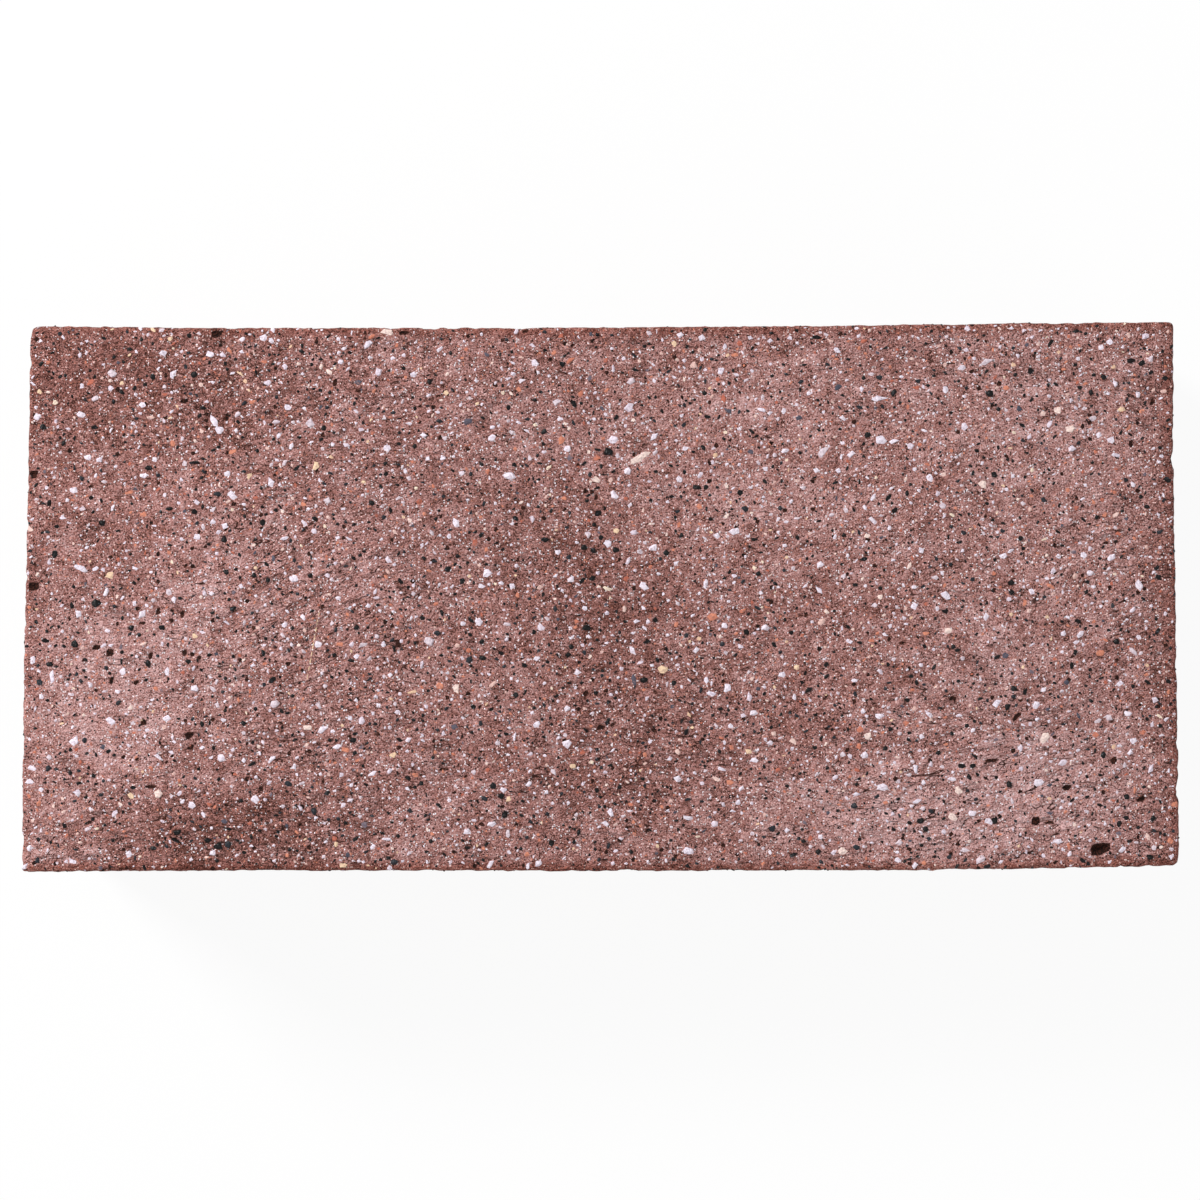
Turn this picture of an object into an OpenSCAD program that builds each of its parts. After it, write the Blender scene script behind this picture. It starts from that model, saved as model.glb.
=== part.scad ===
// Concrete paving stone: a rectangular block cast in one piece. Its face is worn into
// long, low waves, its upper edges and upright corners are eased, and its four sides
// are a little out of straight. It lies on a flat bed, with the origin at the bed's centre.

/* [Block] */
// Greatest length of the block, along X
stone_l = 210; // [190:1:240]
// Greatest width of the block, along Y
stone_w = 100; // [90:1:115]
// Height from the bed to the crown of the face
stone_h = 60; // [50:1:80]
// Radius of the eased upper edges and upright corners
edge_r = 0.9; // [0.6:0.1:4]

/* [Sides] */
// Set-back of the front side at its left end, its two third points and its right end
front_setback = [0, 0.4, 0.3, 1.4]; // [0:0.1:3]
// Set-back of the back side, from left to right
back_setback = [0.4, 1, 0.6, 0]; // [0:0.1:3]
// Set-back of the left end, from front to back
left_setback = [0, 0.1, 0.7, 1.1]; // [0:0.1:3]
// Set-back of the right end, from front to back
right_setback = [0, 0.3, 0.8, 1]; // [0:0.1:3]

/* [Worn face] */
// Height of the long wave, from trough to crown
wave_h = 1.2; // [0:0.1:2]
// Length of the long wave, from crown to crown
wave_l = 132; // [80:1:200]
// Place of the first crown along the length, from the centre
crown_x = -40; // [-60:1:60]
// Fall of the worn corner at the back left, in millimetres for each millimetre
corner_fall = 0.03; // [0:0.005:0.06]
// Depth of the foot-worn hollow
hollow_depth = 0.7; // [0:0.1:1.5]
// Radius of the hollow
hollow_r = 32; // [15:1:45]
// Centre of the hollow
hollow_at = [14, -12]; // [-60:1:60]

/* [Mesh] */
// Spacing of the face's points
face_pitch = 5; // [4:0.5:10]
// Steps round an eased edge
edge_steps = 3; // [2:1:6]

/* [Hidden] */
concrete_colour = [0.60, 0.45, 0.43];

// Extra depth under the bed, taken off when the bed is struck level
strike_off = 2;

half_l = stone_l / 2;
half_w = stone_w / 2;

// The worn corner starts to fall at a crease. A point on it, as shares of the length and the
// width, and the way down from it, as an angle from +X.
crease_share = [-0.33, -0.18];
crease_turn = 137;
// The fall fades in over this distance, so that the crease is rounded.
crease_soft = 8;
crease_at = [crease_share.x * stone_l, crease_share.y * stone_w];
crease_way = [cos(crease_turn), sin(crease_turn)];

// Grid lines along one direction, as distances from the middle: close together
// round the two eased edges and evenly spaced between them.
function edge_lines(half) = [for (k = [0:edge_steps]) half - edge_r * (1 - cos(90 * k / edge_steps))];
function inner_lines(half) =
    let (reach = half - edge_r, cells = ceil(2 * reach / face_pitch))
    [for (k = [1:cells - 1]) -reach + 2 * reach * k / cells];
function grid_lines(half) =
    let (edge = edge_lines(half))
    concat([for (d = edge) -d], inner_lines(half), [for (k = [edge_steps:-1:0]) edge[k]]);

x_lines = grid_lines(half_l);
y_lines = grid_lines(half_w);
nx = len(x_lines);
ny = len(y_lines);

// Set-back of a side at the share t of its length: the cubic through its four stations.
function setback(stations, t) =
    let (a = 3 * t, b = a - 1, c = a - 2, d = a - 3)
    -stations[0] * b * c * d / 6 + stations[1] * a * c * d / 2
    - stations[2] * a * b * d / 2 + stations[3] * a * b * c / 6;

// Where a point of the true rectangle lies once the four sides are set back.
function warped(x, y) =
    let (
        along = (x + half_l) / stone_l,
        across = (y + half_w) / stone_w,
        left = -half_l + setback(left_setback, across),
        right = half_l - setback(right_setback, across),
        front = -half_w + setback(front_setback, along),
        back = half_w - setback(back_setback, along)
    )
    [left + (right - left) * along, front + (back - front) * across];

// How far a grid line lies into the eased edge: 0 on the face, -1 or 1 at the side.
function into_edge(d, half) = sign(d) * max(0, (abs(d) - half + edge_r) / edge_r);

// How far the face is worn below its crown at a point.
function worn(p) =
    let (
        wave = wave_h / 2 * (1 - cos(360 * (p.x - crown_x) / wave_l)),
        past_crease = (p - crease_at) * crease_way,
        corner = corner_fall * (past_crease + sqrt(pow(past_crease, 2) + pow(crease_soft, 2))) / 2,
        hollow = hollow_depth * exp(-pow(norm(p - hollow_at) / hollow_r, 2))
    )
    wave + corner + hollow;

// A point of the upper surface. Round the corners the square grid is drawn in to a disc,
// so that the upright corners have the same radius as the edges.
function top_point(x, y) =
    let (
        edge = [into_edge(x, half_l), into_edge(y, half_w)],
        reach = max(abs(edge.x), abs(edge.y)),
        pull = reach > 0 ? reach / norm(edge) - 1 : 0,
        p = warped(x + edge_r * edge.x * pull, y + edge_r * edge.y * pull),
        drop = edge_r * (1 - sqrt(max(0, 1 - reach * reach)))
    )
    [p.x, p.y, stone_h - worn(p) - drop];

// Grid places of the rim, once round against the clock from the front left corner.
rim = concat(
    [for (i = [0:nx - 2]) i * ny],
    [for (j = [0:ny - 2]) (nx - 1) * ny + j],
    [for (i = [nx - 1:-1:1]) i * ny + ny - 1],
    [for (j = [ny - 1:-1:1]) j]
);

module paving_stone() {
    top = [for (x = x_lines) for (y = y_lines) top_point(x, y)];
    below = [for (r = rim) [top[r].x, top[r].y, -strike_off]];
    n_top = len(top);
    n_rim = len(rim);

    // Each cell of the face is two triangles, wound clockwise seen from outside.
    face = [
        for (i = [0:nx - 2]) for (j = [0:ny - 2])
            let (a = i * ny + j, b = a + ny)
            each [[a, a + 1, b + 1], [a, b + 1, b]]
    ];
    sides = [
        for (k = [0:n_rim - 1])
            let (next = (k + 1) % n_rim)
            each [[rim[k], rim[next], n_top + next], [rim[k], n_top + next, n_top + k]]
    ];
    underside = [[for (k = [0:n_rim - 1]) n_top + k]];

    // The block is made a little too deep and struck off level, which leaves one flat bed.
    color(concrete_colour)
        difference() {
            polyhedron(concat(top, below), concat(face, sides, underside), convexity = 4);
            translate([-stone_l, -stone_w, -2 * strike_off])
                cube([2 * stone_l, 2 * stone_w, 2 * strike_off]);
        }
}

paving_stone();
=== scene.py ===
"""A concrete paving stone: its worn body, the sand set in its skin and a plain studio round it.

Lengths are in millimetres until a mesh is made, and every mesh is in metres, in the frame of
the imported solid: +X along the stone, +Y across it, +Z up out of its face, zero at the bed.
"""

from __future__ import annotations

import logging
import math
import random
from abc import ABC, abstractmethod
from collections.abc import Sequence
from dataclasses import dataclass, field
from enum import Enum
from typing import NamedTuple

import bpy
import numpy as np
from mathutils import Matrix, Vector, noise
from mathutils.bvhtree import BVHTree


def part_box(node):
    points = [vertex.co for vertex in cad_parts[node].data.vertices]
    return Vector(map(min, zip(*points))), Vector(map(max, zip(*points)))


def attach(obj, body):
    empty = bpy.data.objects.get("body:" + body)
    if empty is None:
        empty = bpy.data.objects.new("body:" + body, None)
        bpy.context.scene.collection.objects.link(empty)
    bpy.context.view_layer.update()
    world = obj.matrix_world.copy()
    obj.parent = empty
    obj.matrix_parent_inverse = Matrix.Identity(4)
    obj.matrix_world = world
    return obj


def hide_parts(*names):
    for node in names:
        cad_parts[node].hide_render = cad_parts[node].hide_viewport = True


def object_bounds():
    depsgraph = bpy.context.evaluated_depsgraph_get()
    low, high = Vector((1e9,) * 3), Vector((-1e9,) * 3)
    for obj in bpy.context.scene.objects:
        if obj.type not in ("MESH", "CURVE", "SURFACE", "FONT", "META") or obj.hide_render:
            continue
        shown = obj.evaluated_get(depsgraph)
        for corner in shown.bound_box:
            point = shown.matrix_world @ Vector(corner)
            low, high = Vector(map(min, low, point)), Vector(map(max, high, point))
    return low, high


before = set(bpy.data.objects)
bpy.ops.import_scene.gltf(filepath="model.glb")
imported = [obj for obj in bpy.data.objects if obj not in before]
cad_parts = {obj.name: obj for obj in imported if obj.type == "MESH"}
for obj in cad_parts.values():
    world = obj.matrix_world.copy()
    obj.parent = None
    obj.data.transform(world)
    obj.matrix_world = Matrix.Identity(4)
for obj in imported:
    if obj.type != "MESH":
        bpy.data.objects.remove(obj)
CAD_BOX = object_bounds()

LOG = logging.getLogger("paving_stone")
MM = 0.001
BAKE_MAP = "OFBake"
SOLID = "paving_stone"
BODY = "root"
X_AXIS = Vector((1, 0, 0))
Z_AXIS = Vector((0, 0, 1))

# The standard curve between a screen's colours and light.
SCREEN_MOST = 255
SCREEN_KNEE = 0.04045
SCREEN_SLOPE = 12.92
SCREEN_LIFT = 0.055
SCREEN_POWER = 2.4

Rgb = tuple[int, int, int]
Run = tuple[tuple[float, Rgb], ...]
Pair = tuple[float, float]
Triple = tuple[float, float, float]
Socket = bpy.types.NodeSocket


def linear(colour: Rgb) -> tuple[float, float, float, float]:
    """Turns a colour as seen on a screen into the linear one that a shader takes.

    Args:
        colour: red, green and blue from 0 to 255.

    Returns:
        Linear red, green, blue and an alpha of 1.
    """
    bent = []
    for share in (c / SCREEN_MOST for c in colour):
        if share <= SCREEN_KNEE:
            bent.append(share / SCREEN_SLOPE)
        else:
            bent.append(((share + SCREEN_LIFT) / (1 + SCREEN_LIFT)) ** SCREEN_POWER)
    return (*bent, 1.0)


def smooth_step(low: float, high: float, value: np.ndarray) -> np.ndarray:
    """Eases from 0 at low to 1 at high.

    Args:
        low: where the rise starts.
        high: where the rise ends.
        value: the values to ease.

    Returns:
        The eased shares, from 0 to 1.
    """
    share = np.clip((value - low) / (high - low), 0, 1)
    return share * share * (3 - 2 * share)


def turned(
    x: np.ndarray, y: np.ndarray, centre: Pair, degrees: float
) -> tuple[np.ndarray, np.ndarray]:
    """Measures points of the face along and across a line.

    Args:
        x: places along the stone.
        y: places across it.
        centre: a point of the line, to measure from.
        degrees: the line's turn from +X.

    Returns:
        The distances along the line and across it.
    """
    turn = math.radians(degrees)
    right, back = x - centre[0], y - centre[1]
    along = right * math.cos(turn) + back * math.sin(turn)
    across = back * math.cos(turn) - right * math.sin(turn)
    return along, across


def new_mesh(
    name: str, points: Sequence[Sequence[float]], faces: Sequence[Sequence[int]]
) -> bpy.types.Mesh:
    """Makes a mesh.

    Args:
        name: its name.
        points: its points.
        faces: the places of each face's corners in the list of points.

    Returns:
        The mesh.
    """
    mesh = bpy.data.meshes.new(name)
    mesh.from_pydata(points, [], faces)
    mesh.update()
    return mesh


def point_normals(mesh: bpy.types.Mesh) -> np.ndarray:
    """Reads the way out at each point of a mesh.

    Args:
        mesh: the mesh.

    Returns:
        One vector a row.
    """
    normals = np.empty(len(mesh.vertices) * 3)
    mesh.vertex_normals.foreach_get("vector", normals)
    return normals.reshape(-1, 3)


def write_map(mesh: bpy.types.Mesh, places: np.ndarray) -> None:
    """Writes the place of each corner of a mesh's faces on the bake's map."""
    layer = mesh.uv_layers.new(name=BAKE_MAP)
    layer.uv.foreach_set("vector", np.asarray(places, np.float32).ravel())


def new_piece(name: str, mesh: bpy.types.Mesh, finish: Finish) -> bpy.types.Object:
    """Makes a dressed piece that rides on the stone.

    Args:
        name: its name.
        mesh: its mesh.
        finish: its finish.

    Returns:
        The piece.
    """
    mesh.materials.append(finish.material())
    piece = bpy.data.objects.new(name, mesh)
    bpy.context.scene.collection.objects.link(piece)
    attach(piece, BODY)
    return piece


class Layer(Enum):
    """The kinds of value that a mesh carries for its finish, in Blender's words for each."""

    NUMBER = ("FLOAT", "value")
    PLACE = ("FLOAT_VECTOR", "vector")
    COLOUR = ("FLOAT_COLOR", "color")

    def write(self, mesh: bpy.types.Mesh, name: str, domain: str, values: np.ndarray) -> None:
        """Writes values of this kind on a mesh.

        Args:
            mesh: the mesh.
            name: the name that the finish reads them by.
            domain: Blender's word for what has one value each.
            values: the values.
        """
        kind, key = self.value
        layer = mesh.attributes.new(name, kind, domain)
        layer.data.foreach_set(key, np.asarray(values, np.float32).ravel())


@dataclass(frozen=True)
class Cloud:
    """Cloudy noise: its waves in each millimetre, its finer layers and how strong they are."""

    per_mm: float
    detail: float = 2.0
    rough: float = 0.55


@dataclass(frozen=True)
class Flecks:
    """Round flecks, one in each cell of space.

    There are so many cells in each millimetre, a fleck's radius is a share of a cell, and the
    fleck is full from a share of its radius inwards.
    """

    per_mm: float
    radius: float
    full_at: float = 0.85


class NodeSheet:
    """A node tree, and short ways to add to it."""

    # Blender's mix node has sockets of the same names for each kind of value. These are the
    # places of those for colours.
    mix_under: int = 6
    mix_over: int = 7
    mix_result: int = 2
    # The middle of a noise's range.
    middle: float = 0.5

    def __init__(self, tree: bpy.types.NodeTree, output: str = "ShaderNodeOutputMaterial") -> None:
        """Empties a tree and gives it an output.

        Args:
            tree: the tree.
            output: Blender's name for the output.
        """
        self.tree = tree
        self.tree.nodes.clear()
        self.surface = self.add(output).inputs["Surface"]

    def add(self, kind: str, **settings: object) -> bpy.types.Node:
        """Adds a node.

        Args:
            kind: Blender's name for the node.
            **settings: properties to set on it.

        Returns:
            The new node.
        """
        node = self.tree.nodes.new(kind)
        for name, value in settings.items():
            setattr(node, name, value)
        return node

    def feed(self, socket: Socket, value: object) -> None:
        """Links a socket to another one, or sets it to a plain value.

        Args:
            socket: the socket to feed.
            value: a socket or a plain value.
        """
        if isinstance(value, bpy.types.NodeSocket):
            self.tree.links.new(value, socket)
        else:
            socket.default_value = value

    def join(self, node: bpy.types.Node, *values: object) -> Socket:
        """Feeds a node's sockets in their order.

        Args:
            node: the node.
            *values: sockets or plain values.

        Returns:
            The node's first output.
        """
        for socket, value in zip(node.inputs, values):
            self.feed(socket, value)
        return node.outputs[0]

    def maths(self, operation: str, *values: object) -> Socket:
        """Adds a sum, by Blender's name for it, of sockets or numbers."""
        return self.join(self.add("ShaderNodeMath", operation=operation), *values)

    def weighted(self, *parts: tuple[Socket, float]) -> Socket:
        """Adds up noises about their middle.

        Args:
            *parts: each noise, from 0 to 1, and its weight.

        Returns:
            The sum, about the same middle.
        """
        total: object = self.middle - self.middle * sum(weight for _, weight in parts)
        for value, weight in parts:
            total = self.maths("MULTIPLY_ADD", value, weight, total)
        return total

    def places(self) -> Socket:
        """The point on the piece, in millimetres."""
        return self.scaled(self.add("ShaderNodeTexCoord").outputs["Object"], (1 / MM,) * 3)

    def scaled(self, vector: Socket, factors: Triple) -> Socket:
        """A vector with each axis multiplied by its own factor."""
        return self.join(self.add("ShaderNodeVectorMath", operation="MULTIPLY"), vector, factors)

    def attribute(self, name: str, output: str = "Fac") -> Socket:
        """One of the mesh's own layers, read by its name."""
        return self.add("ShaderNodeAttribute", attribute_name=name).outputs[output]

    def clouds(self, at: Socket, cloud: Cloud, output: str = "Fac") -> Socket:
        """Adds cloudy noise.

        Args:
            at: the point, in millimetres.
            cloud: the noise.
            output: "Fac" for a number, "Color" for three.

        Returns:
            The noise, from 0 to 1.
        """
        node = self.add("ShaderNodeTexNoise")
        self.feed(node.inputs["Vector"], at)
        node.inputs["Scale"].default_value = cloud.per_mm
        node.inputs["Detail"].default_value = cloud.detail
        node.inputs["Roughness"].default_value = cloud.rough
        return node.outputs[output]

    def stirred(self, at: Socket, cloud: Cloud, by: float) -> Socket:
        """The point, moved about by cloudy noise, by so many millimetres along each axis."""
        node = self.add("ShaderNodeVectorMath", operation="MULTIPLY_ADD")
        return self.join(node, self.clouds(at, cloud, "Color"), (2 * by,) * 3, at)

    def flecks(self, at: Socket, flecks: Flecks) -> tuple[Socket, Socket]:
        """Adds round flecks.

        Args:
            at: the point, in millimetres.
            flecks: the flecks.

        Returns:
            The mask of the flecks, and a value from 0 to 1 that differs from one to the next.
        """
        node = self.add("ShaderNodeTexVoronoi")
        self.feed(node.inputs["Vector"], at)
        node.inputs["Scale"].default_value = flecks.per_mm
        value = self.join(self.add("ShaderNodeSeparateColor"), node.outputs["Color"])
        edge = (flecks.radius, flecks.radius * flecks.full_at)
        return self.rise(node.outputs["Distance"], edge), value

    def rise(self, value: Socket, edge: Pair) -> Socket:
        """Adds a soft switch.

        Args:
            value: what it follows.
            edge: where it starts to rise, and where it is full.

        Returns:
            A value that goes from 0 to 1 over the edge.
        """
        node = self.add("ShaderNodeMapRange", interpolation_type="SMOOTHSTEP")
        self.feed(node.inputs["Value"], value)
        node.inputs["From Min"].default_value, node.inputs["From Max"].default_value = edge
        return node.outputs[0]

    def ramp(self, factor: Socket, run: Run) -> Socket:
        """Adds a run of colours.

        Args:
            factor: the place along the run.
            run: the places of the colours, and the colours.

        Returns:
            The colour at that place.
        """
        node = self.add("ShaderNodeValToRGB")
        elements = node.color_ramp.elements
        while len(elements) < len(run):
            elements.new(1.0)
        for element, (place, colour) in zip(elements, run, strict=True):
            element.position = place
            element.color = linear(colour)
        return self.join(node, factor)

    def blend(self, factor: object, under: object, over: object, way: str = "MIX") -> Socket:
        """Lays one colour over another.

        Args:
            factor: how much of the upper one shows.
            under: the lower colour.
            over: the upper colour.
            way: Blender's name for the way the two mix.

        Returns:
            The mixed colour.
        """
        node = self.add("ShaderNodeMix", data_type="RGBA", blend_type=way)
        self.feed(node.inputs["Factor"], factor)
        self.feed(node.inputs[self.mix_under], under)
        self.feed(node.inputs[self.mix_over], over)
        return node.outputs[self.mix_result]

    def bump(self, height: Socket, depth_mm: float, strength: float = 1.0) -> Socket:
        """Bends the normal.

        Args:
            height: the height to follow, which is worth depth_mm at 1.
            depth_mm: that depth.
            strength: how much of the bend shows.

        Returns:
            The bent normal.
        """
        node = self.add("ShaderNodeBump")
        node.inputs["Strength"].default_value = strength
        node.inputs["Distance"].default_value = depth_mm * MM
        self.feed(node.inputs["Height"], height)
        return node.outputs[0]

    def principled(self, **inputs: object) -> None:
        """Adds the main shader and shows it.

        Args:
            **inputs: its sockets, with spaces in their names written as underscores.
        """
        node = self.add("ShaderNodeBsdfPrincipled")
        for name, value in inputs.items():
            self.feed(node.inputs[name.replace("_", " ")], value)
        self.feed(self.surface, node.outputs[0])

    def seen(self) -> Socket:
        """Finds the rays that show a surface to the lens.

        Returns:
            1 for the lens, for a reflection and through glass, and 0 for other light.
        """
        rays = self.add("ShaderNodeLightPath").outputs
        straight = self.maths("MAXIMUM", rays["Is Camera Ray"], rays["Is Glossy Ray"])
        return self.maths("MAXIMUM", straight, rays["Is Transmission Ray"])

    def show_mix(self, factor: Socket, first: bpy.types.Node, second: bpy.types.Node) -> None:
        """Shows the first shader, and the second as far as the factor says."""
        mix = self.add("ShaderNodeMixShader")
        self.feed(self.surface, self.join(mix, factor, first.outputs[0], second.outputs[0]))


class Finish(ABC):
    """A finish, which is drawn as the nodes of a material."""

    name: str

    def material(self) -> bpy.types.Material:
        """Builds the finish's material.

        Returns:
            The material.
        """
        material = bpy.data.materials.new(self.name)
        material.use_nodes = True
        self.draw(NodeSheet(material.node_tree))
        return material

    @abstractmethod
    def draw(self, sheet: NodeSheet) -> None:
        """Draws the finish on a sheet of nodes."""


@dataclass(frozen=True)
class ConcreteFinish(Finish):
    """Rough red-brown concrete: mottled paste with fine specks, cracks, ledges and dark holes.

    The dark of the cracks (with some dirt), of the ledges' feet, of the holes and of the dark
    specks is painted shade, and so is the darkening along the eased edges.
    """

    name: str = "worn_concrete"
    roughness: float = 0.9
    shine: float = 0.17
    # Multiplies the paste: painted shade along the eased edges, and darker, redder sides.
    edge_shade: Rgb = (206, 164, 144)
    # Painted shade in the cracks, with some dirt, and at the feet of the ledges.
    crevice_shade: Rgb = (52, 27, 21)
    paste_run: Run = ((0.2, (98, 54, 43)), (0.5, (169, 117, 110)), (0.85, (235, 195, 195)))
    # The dark floor and the walls of a hole: painted shade.
    hole_run: Run = ((0.45, (20, 11, 9)), (0.75, (96, 52, 40)))
    # Pink, white and warm specks, and dark specks of painted shade in the gaps between the sand.
    speck_run: Run = (
        (0.0, (242, 204, 200)),
        (0.06, (242, 204, 200)),
        (0.075, (252, 244, 250)),
        (0.215, (252, 244, 250)),
        (0.225, (216, 142, 118)),
        (0.5, (216, 142, 118)),
        (0.6, (60, 35, 29)),
    )
    # The part of the run of specks that stays plain paste.
    speck_gap: Pair = (0.27, 0.79)
    specks: Flecks = Flecks(2.6, 0.41)
    holes: Flecks = Flecks(0.8, 0.36)
    hole_share: float = 0.045
    grit: Cloud = Cloud(4.0, 1.0, 0.7)
    mottle: Cloud = Cloud(0.6, 1.0, 0.6)
    ragged: Cloud = Cloud(2.2, 0.0)
    ragged_by: float = 0.2
    # Shares of grit, mottle and tone in the paste, of the painted shade and grit in the dark of a
    # hole, and of grit, crust and ledges in the height.
    paste_weights: Triple = (1.0, 0.34, 0.3)
    hollow_shade_weights: Pair = (1.0, 0.6)
    height_weights: Triple = (0.5, 2.4, 0.8)
    depth: float = 0.6
    # Cracks and ledges: the noise that they follow, how it is stretched along the drawn paste,
    # how many ledges it makes, and where their lines of painted shade start and are full.
    lumps: Cloud = Cloud(1.0, 2.0, 0.65)
    crack_stretch: Triple = (0.6, 0.95, 1)
    ledge_stretch: Triple = (0.09, 0.27, 1)
    ledges: float = 7.0
    crack_edge: Pair = (0.036, 0.006)
    crack_paste: Pair = (0.56, 0.4)
    ledge_foot: Pair = (0.12, 0.02)
    # Where the painted shade on the floor of a pit starts and is full.
    hollow_shade_edge: Pair = (0.26, 0.36)

    def draw(self, sheet: NodeSheet) -> None:
        """Draws the paste, then what lies on it, then its cracks, ledges and holes.

        Args:
            sheet: the material's nodes.
        """
        at = sheet.places()
        flow = sheet.attribute("flow", "Vector")
        grit = sheet.clouds(at, self.grit)
        noises = (grit, sheet.clouds(at, self.mottle), sheet.attribute("tone"))
        paste = sheet.weighted(*zip(noises, self.paste_weights))
        colour = sheet.ramp(paste, self.paste_run)

        ragged = sheet.stirred(at, self.ragged, self.ragged_by)
        fleck, kind = sheet.flecks(ragged, self.specks)
        shown = sheet.maths("MULTIPLY", fleck, self._is_speck(sheet, kind))
        colour = sheet.blend(shown, colour, sheet.ramp(kind, self.speck_run))
        # Painted shade along the eased edges of the face, and darker, redder sides.
        colour = sheet.blend(sheet.attribute("edge_shade"), colour, linear(self.edge_shade), "MULTIPLY")

        crust, crack = self._cracks(sheet, flow, paste)
        ledge, foot = self._ledges(sheet, flow)
        # Painted shade in the cracks, with some dirt, and at the feet of the ledges.
        for crevice_shade in (crack, foot):
            colour = sheet.blend(crevice_shade, colour, linear(self.crevice_shade))
        holes = self._holes(sheet, ragged, grit)
        colour = sheet.blend(holes, colour, sheet.ramp(grit, self.hole_run))

        height = sheet.weighted(*zip((grit, crust, ledge), self.height_weights))
        sheet.principled(
            Base_Color=colour,
            Roughness=self.roughness,
            Normal=sheet.bump(height, self.depth),
            Specular_IOR_Level=self.shine,
        )

    def _is_speck(self, sheet: NodeSheet, kind: Socket) -> Socket:
        """Picks the flecks that are specks.

        Args:
            sheet: the material's nodes.
            kind: the value that differs from fleck to fleck.

        Returns:
            1 for a speck, 0 for a fleck that stays plain paste.
        """
        low, high = self.speck_gap
        away = sheet.maths("ABSOLUTE", sheet.maths("SUBTRACT", kind, (low + high) / 2))
        return sheet.maths("GREATER_THAN", away, (high - low) / 2)

    def _cracks(self, sheet: NodeSheet, flow: Socket, paste: Socket) -> tuple[Socket, Socket]:
        """Draws a lumpy crust, with cracks between its lumps where the paste is deep in colour.

        Args:
            sheet: the material's nodes.
            flow: the point along and across the drawn paste, in millimetres.
            paste: the paste's own shade.

        Returns:
            The height of the crust, and the mask of the painted shade in the cracks.
        """
        lumps = sheet.clouds(sheet.scaled(flow, self.crack_stretch), self.lumps)
        crust = sheet.maths("ABSOLUTE", sheet.maths("SUBTRACT", lumps, sheet.middle))
        deep = sheet.rise(paste, self.crack_paste)
        return crust, sheet.maths("MULTIPLY", sheet.rise(crust, self.crack_edge), deep)

    def _ledges(self, sheet: NodeSheet, flow: Socket) -> tuple[Socket, Socket]:
        """Draws broken ledges that follow the way the paste was drawn.

        Args:
            sheet: the material's nodes.
            flow: the point along and across the drawn paste, in millimetres.

        Returns:
            The height of the ledges, and the mask of the painted shade at their foot.
        """
        folds = sheet.clouds(sheet.scaled(flow, self.ledge_stretch), self.lumps)
        step = sheet.maths("FRACT", sheet.maths("MULTIPLY", folds, self.ledges))
        drawn = sheet.attribute("drawn")
        foot = sheet.maths("MULTIPLY", sheet.rise(step, self.ledge_foot), drawn)
        return sheet.maths("MULTIPLY", step, drawn), foot

    def _holes(self, sheet: NodeSheet, ragged: Socket, grit: Socket) -> Socket:
        """Draws pinholes, and the floors of the pits and bites, in painted shade.

        Args:
            sheet: the material's nodes.
            ragged: the point, moved about so that the holes are ragged.
            grit: the paste's finest noise.

        Returns:
            The mask of the painted shade in the holes.
        """
        hole, kind = sheet.flecks(ragged, self.holes)
        pinholes = sheet.maths("MULTIPLY", hole, sheet.maths("LESS_THAN", kind, self.hole_share))
        hollow_shade = sheet.weighted(*zip((sheet.attribute("hollow_shade"), grit), self.hollow_shade_weights))
        return sheet.maths("MAXIMUM", pinholes, sheet.rise(hollow_shade, self.hollow_shade_edge))


@dataclass(frozen=True)
class GrainFinish(Finish):
    """The broken or worn surface of one kind of sand grain, with a film of paste on parts of it.

    On the black grains the film is blue-grey, a painted glint.
    """

    name: str
    roughness: float
    shine: float
    # How much further than usual the film spreads: paste on most grains, painted glint on black.
    film_and_glint: float
    film_and_glint_colour: Rgb = (162, 120, 114)
    # The grain's own cloudy shade, the smears of the film over it, and the bump of the shade.
    cloudy: Cloud = Cloud(2.6)
    shade_run: Run = ((0.3, (216, 208, 214)), (0.58, (255, 255, 255)))
    smears: Cloud = Cloud(2.2)
    smear_edge: Pair = (0.6, 0.7)
    smear_share: float = 0.8
    depth: float = 0.3
    bend: float = 0.7

    def draw(self, sheet: NodeSheet) -> None:
        """Draws the grain's own tint, cloudy, under smears of paste, and of painted glint on black
        grains.

        Args:
            sheet: the material's nodes.
        """
        at = sheet.places()
        cloudy = sheet.clouds(at, self.cloudy)
        tint = sheet.attribute("tint", "Color")
        colour = sheet.blend(1.0, tint, sheet.ramp(cloudy, self.shade_run), "MULTIPLY")
        start, full = self.smear_edge
        smear = sheet.rise(sheet.clouds(at, self.smears), (start - self.film_and_glint, full - self.film_and_glint))
        film_and_glint = sheet.maths("MULTIPLY", smear, self.smear_share)
        sheet.principled(
            Base_Color=sheet.blend(film_and_glint, colour, linear(self.film_and_glint_colour)),
            Roughness=self.roughness,
            Specular_IOR_Level=self.shine,
            Normal=sheet.bump(cloudy, self.depth, self.bend),
        )


@dataclass(frozen=True)
class FloorFinish(Finish):
    """A white sweep that shows as white to the lens and keeps a soft shadow."""

    name: str = "white_sweep"
    paper: float = 0.9
    glow: float = 1.0
    glow_share: float = 0.93

    def draw(self, sheet: NodeSheet) -> None:
        """Draws white paper with a glow over it.

        Args:
            sheet: the material's nodes.
        """
        paper = sheet.add("ShaderNodeBsdfDiffuse")
        paper.inputs["Color"].default_value = (self.paper, self.paper, self.paper, 1)
        glow = sheet.add("ShaderNodeEmission")
        glow.inputs["Strength"].default_value = self.glow
        sheet.show_mix(sheet.maths("MULTIPLY", sheet.seen(), self.glow_share), paper, glow)


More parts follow.
